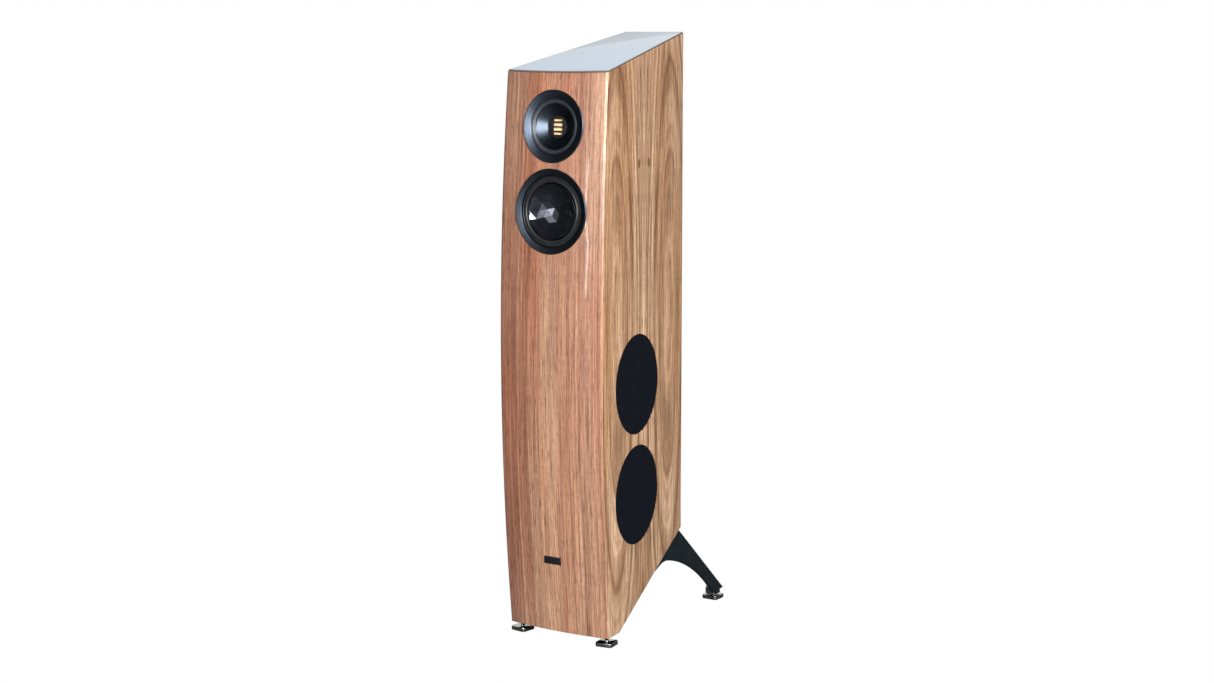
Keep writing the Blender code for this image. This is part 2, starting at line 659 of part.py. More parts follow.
def build():
    clear_scene()
    finishes = {
        "wood": finish("walnut_veneer", (0.36, 0.20, 0.12), 0.35),
        "board": finish("black_painted_board", (0.02, 0.02, 0.022), 0.6),
        "glass": finish("grey_painted_glass", (0.47, 0.54, 0.65), 0.05),
        "satin": finish("satin_black_metal", (0.03, 0.032, 0.036), 0.4, 0.6),
        "horn": finish("grey_anodised_metal", (0.10, 0.105, 0.115), 0.3, 0.9),
        "foil": finish("gold_foil", (0.75, 0.56, 0.28), 0.3, 1.0),
        "iron": finish("magnet_iron", (0.05, 0.05, 0.055), 0.5, 0.8),
        "rubber": finish("surround_rubber", (0.035, 0.036, 0.038), 0.65),
        "cone": finish("black_lacquered_cone", (0.015, 0.016, 0.018), 0.12, 0.3),
        "paper": finish("cone_paper", (0.02, 0.02, 0.02), 0.7),
        "damper": finish("damper_cloth", (0.45, 0.30, 0.12), 0.9),
        "plastic": finish("black_plastic", (0.02, 0.02, 0.021), 0.5),
        "cloth": finish("grille_cloth", (0.012, 0.015, 0.020), 0.95),
        "leg": finish("satin_black_paint", (0.013, 0.017, 0.022), 0.4, 0.2),
        "steel": finish("black_steel", (0.06, 0.06, 0.06), 0.4, 1.0),
        "chrome": finish("chrome", (0.85, 0.86, 0.87), 0.05, 1.0),
        "brass": finish("plated_brass", (0.80, 0.62, 0.32), 0.2, 1.0),
        "circuit": finish("circuit_board", (0.02, 0.10, 0.05), 0.6),
        "badge": finish("badge_metal", (0.10, 0.10, 0.11), 0.3, 1.0),
    }
    frame = empty("speaker_frame", (0, -FRAME_SHIFT_Y, 0))
    parts = cabinet(finishes["wood"], finishes["board"], finishes["glass"], frame)
    tweeter(parts["front"], finishes["satin"], finishes["horn"], finishes["foil"], finishes["iron"], frame)
    midrange(parts["front"], finishes, frame)
    for place in WOOFER_Z:
        woofer(place, parts["right"], finishes, frame)
    stand(parts["front"], parts["sloped"], finishes, frame)
    port(parts["back"], finishes["plastic"], frame)
    terminals(parts["back"], finishes, frame)
    crossover(finishes["circuit"], frame)
    badge(finishes["badge"], frame)


build()
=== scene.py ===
import json
import math

import bmesh
import bpy
from mathutils import Matrix, Vector
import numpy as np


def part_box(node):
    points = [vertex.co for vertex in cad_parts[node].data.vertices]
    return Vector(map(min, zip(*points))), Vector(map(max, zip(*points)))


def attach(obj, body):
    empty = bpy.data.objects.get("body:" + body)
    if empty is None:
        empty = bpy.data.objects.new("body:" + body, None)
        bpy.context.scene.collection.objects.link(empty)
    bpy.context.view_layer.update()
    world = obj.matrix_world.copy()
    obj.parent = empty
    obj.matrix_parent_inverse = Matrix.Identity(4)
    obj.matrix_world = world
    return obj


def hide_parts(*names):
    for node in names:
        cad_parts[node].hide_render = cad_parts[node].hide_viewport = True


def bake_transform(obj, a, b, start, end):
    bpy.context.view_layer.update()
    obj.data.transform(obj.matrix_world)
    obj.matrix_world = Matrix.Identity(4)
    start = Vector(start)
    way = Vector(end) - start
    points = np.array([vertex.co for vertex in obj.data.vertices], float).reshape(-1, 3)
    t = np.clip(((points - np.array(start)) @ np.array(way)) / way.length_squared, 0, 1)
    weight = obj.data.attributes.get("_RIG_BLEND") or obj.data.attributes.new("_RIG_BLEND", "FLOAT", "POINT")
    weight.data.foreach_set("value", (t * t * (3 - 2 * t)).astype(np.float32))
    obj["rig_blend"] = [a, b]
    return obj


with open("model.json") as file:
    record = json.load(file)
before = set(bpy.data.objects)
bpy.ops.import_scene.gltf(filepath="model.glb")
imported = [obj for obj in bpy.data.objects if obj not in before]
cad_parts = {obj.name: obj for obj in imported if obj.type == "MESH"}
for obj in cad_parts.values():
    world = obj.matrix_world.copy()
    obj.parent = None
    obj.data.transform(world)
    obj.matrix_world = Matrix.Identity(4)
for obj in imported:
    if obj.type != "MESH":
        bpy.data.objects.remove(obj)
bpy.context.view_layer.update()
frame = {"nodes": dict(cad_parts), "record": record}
cadNodes = frame["nodes"]
print("frame loaded:", len(cadNodes), "nodes")

# Cabinet, in metres. y counts from the line of the front corners at the top and bottom ends.
cabinet = {
    "height": 1.163,
    "frontHeight": 1.092,
    "baseHeight": 0.018,
    "depth": 0.339,
    "halfWidth": 0.114,
    "taper": 0.136,
    "bow": 0.0255,
    "crown": 0.009,
    "flatBase": 0.048,
    "cutHeight": 0.163,
    "wall": 0.022,
    "backWall": 0.018,
    "glass": 0.003,
    "gap": 0.0003,
}
drivers = {
    "tweeter": 0.988, "mid": 0.830, "upper": 0.491, "lower": 0.274, "fromFront": 0.127, "ringInset": 0.002
}

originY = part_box("back_panel")[1].y - cabinet["depth"]
home = Matrix.Translation((0, originY, 0))
middle = (cabinet["frontHeight"] + cabinet["baseHeight"]) / 2
halfHeight = (cabinet["frontHeight"] - cabinet["baseHeight"]) / 2
sideAngle = math.atan(cabinet["taper"])


def bowAt(z):
    return cabinet["bow"] * (1 - ((z - middle) / halfHeight) ** 2)


def frontTilt(z):
    return math.atan(2 * cabinet["bow"] * (z - middle) / halfHeight**2)


def sideX(y, inset=0.0):
    return cabinet["halfWidth"] - cabinet["taper"] * y - inset * math.hypot(1, cabinet["taper"])


def topZ(y):
    return cabinet["frontHeight"] + (cabinet["height"] - cabinet["frontHeight"]) * y / cabinet["depth"]


def woodTopZ(y):
    return topZ(y) - cabinet["glass"] - cabinet["gap"]


def bottomZ(y):
    rise = (cabinet["cutHeight"] - cabinet["baseHeight"]) / (cabinet["depth"] - cabinet["flatBase"])
    return cabinet["baseHeight"] + max(0.0, y - cabinet["flatBase"]) * rise


def frontFrame(z):
    # local +Z points out of the baffle
    crown = Matrix.Translation((0, -bowAt(z) - cabinet["crown"] + drivers["ringInset"], z))
    return home @ crown @ Matrix.Rotation(math.pi / 2 - frontTilt(z), 4, "X")


def sideFrame(z):
    # local +Z points out of the right-hand side, +Y to the back
    y = drivers["fromFront"]
    turn = Matrix.Rotation(sideAngle, 4, "Z") @ Matrix.Rotation(math.pi / 2, 4, "Y")
    return home @ Matrix.Translation((sideX(y), y, z)) @ turn


# Colour and node helpers.
def linear(code):
    channels = [int(code[i : i + 2], 16) / 255 for i in (0, 2, 4)]
    return [c / 12.92 if c <= 0.04045 else ((c + 0.055) / 1.055) ** 2.4 for c in channels] + [1.0]


def addNode(tree, kind, settings):
    # a value that is a socket is linked, and one that is a node is linked from its first output
    node = tree.nodes.new("ShaderNode" + kind)
    for key, value in settings.items():
        if isinstance(value, bpy.types.Node):
            value = value.outputs[0]
        if isinstance(value, bpy.types.NodeSocket):
            tree.links.new(value, node.inputs[key])
        elif isinstance(key, int) or key in node.inputs:
            node.inputs[key].default_value = value
        else:
            setattr(node, key, value)
    return node


def newMaterial(name, look):
    made = bpy.data.materials.new(name)
    made.use_nodes = True
    shader = made.node_tree.nodes["Principled BSDF"]
    shader.inputs["Base Color"].default_value = linear(look["colour"])
    for key in ("Metallic", "Roughness", "IOR", "Coat Weight", "Coat Roughness", "Sheen Weight"):
        if key in look:
            shader.inputs[key].default_value = look[key]
    made.diffuse_color = linear(look["colour"])
    return made, made.node_tree, shader


def feed(shader, sources):
    for key, socket in sources.items():
        shader.id_data.links.new(socket, shader.inputs[key])


# Gloss and colour that follow one pattern, over a relief.
def liven(shader, look, pattern, relief, duller, glossier):
    tree = shader.id_data
    gloss = addNode(
        tree,
        "MapRange",
        {
            "From Min": 0.3,
            "From Max": 0.7,
            "To Min": look["Roughness"] - glossier,
            "To Max": look["Roughness"] + duller,
            "Value": pattern,
        },
    )
    colours = {6: linear(look["colour"]), 7: linear(look["second"])}
    tint = addNode(tree, "Mix", {"data_type": "RGBA", 0: pattern, **colours})
    feed(
        shader,
        {
            "Roughness": gloss.outputs["Result"],
            "Base Color": tint.outputs[2],
            "Normal": relief.outputs["Normal"],
        },
    )


# A plain surface made livelier by its process: mottled gloss, slight colour drift and a fine relief.
def surface(name, look):
    made, tree, shader = newMaterial(name, look)
    place = addNode(tree, "TexCoord", {}).outputs["Object"]
    drift = addNode(tree, "TexNoise", {"Scale": 1000 / look["driftMm"], "Detail": 3.0, "Vector": place})
    grain = addNode(tree, "TexNoise", {"Scale": 1000 / look["grainMm"], "Detail": 2.0, "Vector": place})
    depth = min(look["grainMm"], 2.0) / 4000
    relief = addNode(tree, "Bump", {"Strength": look.get("relief", 0.15), "Distance": depth, "Height": grain})
    spread = look.get("spread", 0.08)
    liven(shader, look, drift, relief, spread, spread)
    return made


# Fine concentric tool marks round the local Z axis, as a lathe leaves them.
def turnedMetal(name, look):
    made, tree, shader = newMaterial(name, look)
    place = addNode(tree, "TexCoord", {}).outputs["Object"]
    flat = addNode(tree, "VectorMath", {"operation": "MULTIPLY", 0: place, 1: (1, 1, 0)})
    radius = addNode(tree, "VectorMath", {"operation": "LENGTH", 0: flat}).outputs["Value"]
    marks = addNode(
        tree,
        "TexNoise",
        {"noise_dimensions": "1D", "Scale": 1000 / look["grainMm"], "Detail": 3.0, "W": radius},
    )
    relief = addNode(tree, "Bump", {"Strength": look["relief"], "Distance": 0.0001, "Height": marks})
    liven(shader, look, marks, relief, 0.08, 0.06)
    return made


# Plain-woven cloth: two crossed sets of threads, on local X and Y.
def wovenCloth(name, look):
    made, tree, shader = newMaterial(name, look)
    place = addNode(tree, "TexCoord", {}).outputs["Object"]
    threads = []
    for direction in ("X", "Y"):
        threads.append(
            addNode(
                tree,
                "TexWave",
                {
                    "bands_direction": direction,
                    "Scale": 1000 / look["threadMm"] / 6.2832 * 0.5,
                    "Distortion": 0.6,
                    "Detail": 1.0,
                    "Vector": place,
                },
            ).outputs["Fac"]
        )
    weave = addNode(tree, "Math", {"operation": "MULTIPLY", 0: threads[0], 1: threads[1]})
    drift = addNode(tree, "TexNoise", {"Scale": 30.0, "Detail": 4.0, "Vector": place})
    share = addNode(tree, "Math", {"operation": "MULTIPLY", 0: weave, 1: drift})
    colours = {6: linear(look["colour"]), 7: linear(look["second"])}
    tint = addNode(tree, "Mix", {"data_type": "RGBA", 0: share, **colours})
    relief = addNode(tree, "Bump", {"Strength": 0.4, "Distance": look["threadMm"] / 3000, "Height": weave})
    feed(shader, {"Base Color": tint.outputs[2], "Normal": relief.outputs["Normal"]})
    return made


# Sliced walnut veneer under lacquer. The rings of a log are cut by a plane that leans along the grain, which
# gives straight stripes far from the pith and tall pointed figures near it.
def walnutVeneer(name, look):
    made, tree, shader = newMaterial(name, look)
    axes = addNode(tree, "SeparateXYZ", {0: addNode(tree, "TexCoord", {}).outputs["Object"]})
    height = axes.outputs["Z"]
    across = addNode(
        tree, "Math", {"operation": "SUBTRACT", 0: axes.outputs[look["across"]], 1: look["matchLine"]}
    )
    if look["bookMatched"]:
        across = addNode(tree, "Math", {"operation": "ABSOLUTE", 0: across})
    leaf = addNode(tree, "CombineXYZ", {"X": across, "Y": height, "Z": look["seed"]})

    def stretched(perMetreAcross, perMetreAlong, detail, seed, rough=0.5):
        # noise drawn out along the grain
        scale = (perMetreAcross, perMetreAlong, 1.0)
        away = (seed * 7.3, seed * 3.1, seed)
        spot = addNode(tree, "VectorMath", {"operation": "MULTIPLY_ADD", 0: leaf, 1: scale, 2: away})
        return addNode(tree, "TexNoise", {"Scale": 1.0, "Detail": detail, "Roughness": rough, "Vector": spot})

    # how far each point lies from the pith, along the leaf and under it
    sway = addNode(tree, "Math", {"operation": "SUBTRACT", 0: stretched(5, 1.6, 2, 1), 1: 0.5})
    wander = addNode(tree, "Math", {"operation": "SUBTRACT", 0: stretched(3, 1.1, 2, 2), 1: 0.5})
    beside = addNode(tree, "Math", {"operation": "SUBTRACT", 0: across, 1: look["pith"]})
    above = addNode(tree, "Math", {"operation": "SUBTRACT", 0: height, 1: look["pithHeight"]})
    dip = addNode(tree, "Math", {"operation": "MULTIPLY", 0: above, 1: look["lean"]})
    fromPith = addNode(
        tree, "Math", {"operation": "MULTIPLY_ADD", 0: sway, 1: look["swayMm"] / 1000, 2: beside}
    )
    under = addNode(
        tree, "Math", {"operation": "MULTIPLY_ADD", 0: wander, 1: look["wanderMm"] / 1000, 2: dip}
    )
    offset = addNode(tree, "CombineXYZ", {"X": fromPith, "Y": under})
    radius = addNode(tree, "VectorMath", {"operation": "LENGTH", 0: offset}).outputs["Value"]
    ringScale = {"Scale": 1000 / look["ringMm"], "Detail": 2.5, "Roughness": 0.6}
    rings = addNode(tree, "TexNoise", {"noise_dimensions": "1D", **ringScale, "W": radius})
    bands = stretched(1000 / look["bandMm"], 0.7, 4, 3, 0.6)
    if look["knot"]:
        # a pin knot beside the match line darkens the bands round it, twice as far along the grain
        knotAcross, knotHeight, knotRadius = look["knot"]
        scale = (1 / knotRadius, 0.5 / knotRadius, 0)
        away = (-knotAcross / knotRadius, -0.5 * knotHeight / knotRadius, 0)
        spot = addNode(tree, "VectorMath", {"operation": "MULTIPLY_ADD", 0: leaf, 1: scale, 2: away})
        apart = addNode(tree, "VectorMath", {"operation": "LENGTH", 0: spot}).outputs["Value"]
        fade = {"interpolation_type": "SMOOTHSTEP", "From Min": 1.0, "From Max": 0.0, "To Max": 0.9}
        nearKnot = addNode(tree, "MapRange", {**fade, "Value": apart})
        bands = addNode(tree, "Math", {"operation": "SUBTRACT", 0: bands, 1: nearKnot})
    tone = addNode(tree, "Mix", {0: look["ringShare"], 2: bands, 3: rings})
    if look["paintedLeftShade"]:
        # painted shade: the leaf is darkened towards its left-hand edge, where the crowned front turns away
        # from the key light
        reach = {"interpolation_type": "SMOOTHSTEP", "From Min": -0.11, "From Max": -0.045}
        side = addNode(
            tree, "MapRange", {**reach, "To Min": -look["paintedLeftShade"], "To Max": 0.0, "Value": across}
        )
        tone = addNode(tree, "Math", {"operation": "ADD", 0: tone, 1: side})
    ramp = addNode(tree, "ValToRGB", {"Fac": tone})
    ramp.color_ramp.interpolation = "B_SPLINE"
    stops = ramp.color_ramp.elements
    for element, (position, code) in zip([stops[0], stops[1]], look["tones"][:2]):
        element.position = position
        element.color = linear(code)
    for position, code in look["tones"][2:]:
        stops.new(position).color = linear(code)
    hueDrift = stretched(14, 0.8, 2, 4)
    reach = {"From Min": 0.38, "From Max": 0.62, "To Max": look["hueShare"]}
    hueShare = addNode(tree, "MapRange", {**reach, "Value": hueDrift})
    tinted = {"data_type": "RGBA", "blend_type": "MULTIPLY"}
    warm = addNode(tree, "Mix", {**tinted, 0: hueShare, 6: ramp, 7: linear(look["hue"])})
    # vessels: the dark dashes of the grain, drawn about twice as wide as real ones so that they show
    streaks = stretched(1000 / look["streakMm"], 5.0, 3, 5, 0.65)
    dashes = stretched(1000 / 2.2, 1000 / 34, 2, 6)
    chatter = stretched(1000 / 6, 1000 / 9, 3, 7)
    shade = None
    for pattern, low, high, dark, light in (
        (streaks, 0.36, 0.62, look["streakDark"], 1.06),
        (dashes, 0.30, 0.46, look["dashDark"], 1.0),
        (chatter, 0.3, 0.7, 0.90, 1.10),
    ):
        reach = {"From Min": low, "From Max": high, "To Min": dark, "To Max": light}
        layer = addNode(tree, "MapRange", {**reach, "Value": pattern})
        shade = addNode(tree, "Math", {"operation": "MULTIPLY", 0: shade, 1: layer}) if shade else layer
    green = addNode(tree, "Math", {"operation": "POWER", 0: shade, 1: 1.12})
    blue = addNode(tree, "Math", {"operation": "POWER", 0: shade, 1: 1.2})
    grey = addNode(tree, "CombineColor", {"Red": shade, "Green": green, "Blue": blue})
    wood = addNode(tree, "Mix", {**tinted, 0: 1.0, 6: warm.outputs[2], 7: grey})
    dull, bright = look["Roughness"] + 0.08, look["Roughness"] - 0.05
    reach = {"From Min": 0.3, "From Max": 0.7, "To Min": dull, "To Max": bright}
    gloss = addNode(tree, "MapRange", {**reach, "Value": dashes})
    # the lacquer pulls slightly into the grain and keeps long shallow waves
    waves = stretched(9, 4.5, 1, 8)
    fineRelief = addNode(tree, "Bump", {"Strength": 0.12, "Distance": 0.0002, "Height": streaks})
    longRelief = addNode(tree, "Bump", {"Strength": look["ripple"], "Distance": 0.0015, "Height": waves})
    feed(
        shader,
        {
            "Base Color": wood.outputs[2],
            "Roughness": gloss.outputs["Result"],
            "Normal": fineRelief.outputs["Normal"],
            "Coat Normal": longRelief.outputs["Normal"],
        },
    )
    return made


veneerLook = {
    "colour": "B08262",
    "IOR": 1.5,
    "Roughness": 0.38,
    "Coat Weight": 0.5,
    "Coat Roughness": 0.05,
    "swayMm": 22,
    "wanderMm": 22,
    "ringMm": 9,
    "bandMm": 24,
    "streakMm": 3.2,
    "streakDark": 0.50,
    "dashDark": 0.50,
    "ripple": 0.6,
    "knot": None,
    "paintedLeftShade": 0.0,
}
# Front leaves: reddish brown, with one tall pale figure down the middle.
frontLook = {
    **veneerLook,
    "across": "X",
    "matchLine": 0.0,
    "bookMatched": False,
    "seed": 3.0,
    "pith": -0.004,
    "pithHeight": 0.34,
    "lean": 0.045,
    "ringShare": 0.5,
    "bandMm": 42,
    "streakMm": 2.4,
    "streakDark": 0.56,
    # painted shade on the left-hand part of the front
    "paintedLeftShade": 0.13,
    "tones": ((0.28, "8A6655"), (0.72, "E4BC98"), (0.42, "AC8069"), (0.52, "C3977A"), (0.62, "D3AA88")),
    "hue": "ECC4B6",
    "hueShare": 0.75,
}
# Side leaves: cooler and yellower, book-matched about a line near the middle of the side.
sideLook = {
    **veneerLook,
    "across": "Y",
    "matchLine": originY + 0.155,
    "bookMatched": True,
    "seed": 11.0,
    "pith": 0.118,
    "pithHeight": 0.62,
    "lean": 0.13,
    "ringShare": 0.6,
    "ringMm": 12,
    "bandMm": 30,
    "streakMm": 4.2,
    "knot": (0.022, 0.915, 0.007),
    "tones": ((0.28, "6E5039"), (0.72, "F0D0B0"), (0.42, "9C7858"), (0.52, "C7A384"), (0.62, "DDBB99")),
    "hue": "E6D2BC",
    "hueShare": 0.7,
    "Coat Weight": 0.3,
}
backLook = {**sideLook, "across": "X", "matchLine": 0.0, "seed": 23.0, "pith": 0.06, "knot": None}

finishes = {}
finishes["veneerFront"] = walnutVeneer("walnutVeneerFront", frontLook)
finishes["veneerSide"] = walnutVeneer("walnutVeneerSide", sideLook)
finishes["veneerBack"] = walnutVeneer("walnutVeneerBack", backLook)
# black-stained fibreboard edge: dull, slightly fuzzy
finishes["board"] = surface(
    "blackStainedFibreboard",
    {"colour": "1B1B1D", "second": "26262A", "Roughness": 0.62, "grainMm": 1.2, "driftMm": 40, "relief": 0.25},
)
# float glass with a real mirror-smooth gloss; its pale grey-blue base colour is painted reflection of the
# bright backdrop, which the top shows at a grazing view
finishes["glass"] = surface(
    "glassPaintedReflection",
    {
        "colour": "A0ACB8",
        "second": "A4B0BC",
        "Roughness": 0.10,
        "IOR": 1.52,
        "grainMm": 60,
        "driftMm": 220,
        "relief": 0.0,
        "spread": 0.02,
    },
)
# ground glass edge over the paint: a dull dark line
finishes["glassEdge"] = surface(
    "groundGlassEdge",
    {"colour": "6A605A", "second": "736962", "IOR": 1.3, "Roughness": 0.6, "grainMm": 0.8, "driftMm": 20},
)
# satin powder-coated die-cast zinc: soft wide sheen
finishes["satin"] = surface(
    "satinCoatedCasting",
    {"colour": "15181B", "second": "1A1D21", "Metallic": 0.3, "Roughness": 0.38, "grainMm": 0.8, "driftMm": 25},
)
# turned and anodised aluminium: streaks of light that fan out from the centre
finishes["ring"] = turnedMetal(
    "turnedBlackAluminium",
    {
        "colour": "454D57",
        "second": "4C5560",
        "Metallic": 1.0,
        "Roughness": 0.32,
        "grainMm": 0.6,
        "relief": 0.004,
    },
)
# turned, then anodised nearly black: the same marks under a duller sheen
finishes["darkRing"] = turnedMetal(
    "anodisedBlackAluminium",
    {
        "colour": "343A41",
        "second": "3A4149",
        "Metallic": 1.0,
        "Roughness": 0.34,
        "grainMm": 0.6,
        "relief": 0.003,
    },
)
# the same, turned finer: a narrower and brighter fan
finishes["horn"] = turnedMetal(
    "turnedGreyAluminium",
    {
        "colour": "434A53",
        "second": "4C545E",
        "Metallic": 1.0,
        "Roughness": 0.24,
        "grainMm": 0.5,
        "relief": 0.004,
    },
)
# the waveguide's rolled rim as its own lighter satin finish: an even grey band of painted highlight, for the
# light that the convex roll catches all round
finishes["rim"] = surface(
    "rimPaintedHighlight",
    {
        "colour": "282B2F",
        "second": "2E3236",
        "Roughness": 0.36,
        "Coat Weight": 0.4,
        "Coat Roughness": 0.3,
        "grainMm": 0.8,
        "driftMm": 30,
    },
)
# crinkled gilded foil: warm and half dull
finishes["foil"] = surface(
    "gildedFoil",
    {
        "colour": "C3A475",
        "second": "CDB388",
        "Metallic": 0.45,
        "Roughness": 0.38,
        "grainMm": 1.0,
        "driftMm": 8,
        "relief": 0.3,
    },
)
# phosphated steel: grey, dull and grainy
finishes["iron"] = surface(
    "phosphatedSteel",
    {
        "colour": "3A3B3D",
        "second": "2F3033",
        "Metallic": 0.7,
        "Roughness": 0.55,
        "grainMm": 1.5,
        "driftMm": 20,
        "relief": 0.3,
    },
)
# moulded butyl rubber: black with a broad weak gloss
finishes["rubber"] = surface(
    "mouldedButylRubber",
    {"colour": "191B1E", "second": "212427", "Roughness": 0.40, "grainMm": 0.7, "driftMm": 12, "relief": 0.2},
)
# pressed metal foil under smoked lacquer: each facet is a small dark mirror
finishes["cone"] = surface(
    "lacqueredPressedFoil",
    {
        "colour": "3A3B44",
        "second": "45464F",
        "Metallic": 0.9,
        "Roughness": 0.21,
        "Coat Weight": 0.4,
        "Coat Roughness": 0.08,
        "grainMm": 3.0,
        "driftMm": 18,
        "relief": 0.0,
        "spread": 0.03,
    },
)
# coated paper pulp: near black, fibrous and without gloss
finishes["paper"] = surface(
    "coatedPaperPulp",
    {"colour": "1A1A1B", "second": "242425", "Roughness": 0.68, "grainMm": 1.6, "driftMm": 9, "relief": 0.4},
)
# cotton stiffened with resin: amber weave
finishes["damper"] = wovenCloth(
    "resinStiffenedCotton", {
        "colour": "8A6238", "second": "B58A55", "Roughness": 0.8, "threadMm": 1.4, "Sheen Weight": 0.1
    }
)
# ABS from a spark-eroded mould: even fine texture with a soft gloss
finishes["plastic"] = surface(
    "mouldedAbs",
    {
        "colour": "1A1B1D",
        "second": "202124",
        "IOR": 1.54,
        "Roughness": 0.48,
        "grainMm": 0.9,
        "driftMm": 30,
        "relief": 0.25,
    },
)
# knitted polyester: swallows light, with threads drawn twice as coarse as real so that they show
finishes["cloth"] = wovenCloth(
    "stretchedPolyesterKnit",
    {
        "colour": "080B11",
        "second": "151B26",
        "Roughness": 0.95,
        "IOR": 1.2,
        "threadMm": 1.2,
        "Sheen Weight": 0.0,
    },
)
# powder-coated steel plate: slight orange peel, soft wide gloss
finishes["leg"] = surface(
    "powderCoatedSteelPlate",
    {
        "colour": "0F1417",
        "second": "13191D",
        "Roughness": 0.45,
        "IOR": 1.4,
        "grainMm": 0.9,
        "driftMm": 35,
        "relief": 0.2,
    },
)
# blackened screws: dark metal with worn gloss
finishes["steel"] = surface(
    "blackenedScrewSteel",
    {"colour": "2A2B2D", "second": "38393B", "Metallic": 1.0, "Roughness": 0.38, "grainMm": 0.6, "driftMm": 6},
)
# polished chrome: a clear mirror, slightly uneven
finishes["chrome"] = surface(
    "polishedChromePlate",
    {
        "colour": "B2B1AF",
        "second": "BBB9B5",
        "Metallic": 1.0,
        "Roughness": 0.07,
        "grainMm": 8.0,
        "driftMm": 25,
        "relief": 0.02,
        "spread": 0.03,
    },
)
# gold-plated brass: warm bright metal
finishes["brass"] = surface(
    "goldPlatedBrass",
    {
        "colour": "D9B26A",
        "second": "E2BF7C",
        "Metallic": 1.0,
        "Roughness": 0.2,
        "grainMm": 1.0,
        "driftMm": 9,
        "relief": 0.08,
    },
)
# solder resist: smooth green lacquer
finishes["circuit"] = surface(
    "solderResist",
    {"colour": "14402A", "second": "1B4D33", "Roughness": 0.35, "grainMm": 2.0, "driftMm": 12, "relief": 0.2},
)
# dark nickel plate: satin metal a shade lighter than the drivers
finishes["badge"] = surface(
    "darkNickelPlate",
    {
        "colour": "33363B",
        "second": "3D4046",
        "Metallic": 0.8,
        "Roughness": 0.3,
        "grainMm": 0.7,
        "driftMm": 10,
        "relief": 0.08,
    },
)
slotFinish = {
    "walnut_veneer": "veneerSide",
    "black_board": "board",
    "grey_glass": "glass",
    "satin_metal": "satin",
    "grey_metal": "horn",
    "gold_foil": "foil",
    "magnet_iron": "iron",
    "surround_rubber": "rubber",
    "cone_lacquer": "cone",
    "cone_paper": "paper",
    "damper_cloth": "damper",
    "black_plastic": "plastic",
    "grille_cloth": "cloth",
    "leg_paint": "leg",
    "screw_steel": "steel",
    "chrome": "chrome",
    "plated_brass": "brass",
    "circuit_board": "circuit",
    "badge_metal": "badge",
}
slotOfNode = {entry["node"]: entry["material_slot"] for entry in frame["record"]["subparts"]}
bodyOfNode = {
    node: body for body, members in frame["record"]["behaviour"]["bodies"].items() for node in members
}
for nodeName, node in cadNodes.items():
    node.data.materials.clear()
    node.data.materials.append(finishes[slotFinish[slotOfNode[nodeName]]])
print("materials ready:", len(finishes))


# Mesh helpers.
def newPiece(name, bm, finish, placing=None, smooth=True, crease=32):
    bmesh.ops.recalc_face_normals(bm, faces=bm.faces)
    mesh = bpy.data.meshes.new(name)
    bm.to_mesh(mesh)
    bm.free()
    if finish:
        mesh.materials.append(finishes[finish])
    if smooth:
        mesh.shade_smooth()
        mesh.set_sharp_from_angle(angle=math.radians(crease))
    piece = bpy.data.objects.new(name, mesh)
    bpy.context.scene.collection.objects.link(piece)
    piece.matrix_world = placing or Matrix.Identity(4)
    return piece


def settle(piece, smooth=True, crease=32):
    # applies the modifiers for good
    bpy.context.view_layer.update()
    ready = piece.evaluated_get(bpy.context.evaluated_depsgraph_get())
    mesh = bpy.data.meshes.new_from_object(ready)
    mesh.name = piece.name
    piece.modifiers.clear()
    piece.data = mesh
    if smooth:
        mesh.shade_smooth()
        mesh.set_sharp_from_angle(angle=math.radians(crease))
    return piece


def standsFor(piece, *nodes):
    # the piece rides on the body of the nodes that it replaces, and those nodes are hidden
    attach(piece, bodyOfNode[nodes[0]])
    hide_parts(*nodes)
    return piece


def addedTo(piece, body):
    # a piece that stands for no solid of its own
    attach(piece, body)
    return piece


def addBevel(piece, widthMm, segments=3, angle=35):
    step = piece.modifiers.new("bevel", "BEVEL")
    step.width = widthMm / 1000
    step.segments = segments
    step.limit_method = "ANGLE"
    step.angle_limit = math.radians(angle)
    step.harden_normals = False
    return step


def cutAway(piece, tool):
    tool.hide_render = True
    step = piece.modifiers.new(tool.name, "BOOLEAN")
    step.operation = "DIFFERENCE"
    step.solver = "EXACT"
    step.object = tool


def dropTools(*tools):
    for tool in tools:
        bpy.data.objects.remove(tool, do_unlink=True)


def turnedMesh(profile, steps=96):
    # a closed profile of (radius, height) in millimetres, spun round local Z
    bm = bmesh.new()
    points = [bm.verts.new((radius / 1000, 0.0, height / 1000)) for radius, height in profile]
    pairs = list(zip(points, points[1:]))
    if not (profile[0][0] == 0 and profile[-1][0] == 0):
        pairs.append((points[-1], points[0]))
    edges = [bm.edges.new(pair) for pair in pairs]
    bmesh.ops.spin(bm, geom=points + edges, axis=(0, 0, 1), cent=(0, 0, 0), angle=math.tau, steps=steps)
    bmesh.ops.remove_doubles(bm, verts=bm.verts, dist=1e-6)
    return bm


def roundedProfile(profile, radiusMm, steps=3):
    # every corner of a closed profile becomes a short arc, apart from those on the axis
    made = []
    count = len(profile)
    for i, point in enumerate(profile):
        here = Vector(point)
        back = Vector(profile[i - 1]) - here
        on = Vector(profile[(i + 1) % count]) - here
        size = min(radiusMm, back.length * 0.45, on.length * 0.45)
        if point[0] == 0 or size < 0.02 or abs(back.angle(on) - math.pi) < 0.25:
            made.append(tuple(here))
            continue
        start = here + back.normalized() * size
        end = here + on.normalized() * size
        for k in range(steps + 1):
            t = k / steps
            made.append(tuple(start * (1 - t) ** 2 + here * 2 * t * (1 - t) + end * t**2))
    return made


def turnedPiece(name, profile, finish, placing, edgeMm=0.3, steps=96):
    return newPiece(name, turnedMesh(roundedProfile(profile, edgeMm), steps), finish, placing)


def boxMesh(low, high):
    bm = bmesh.new()
    bmesh.ops.create_cube(bm, size=1.0)
    for vert in bm.verts:
        vert.co = [low[k] if vert.co[k] < 0 else high[k] for k in range(3)]
    return bm


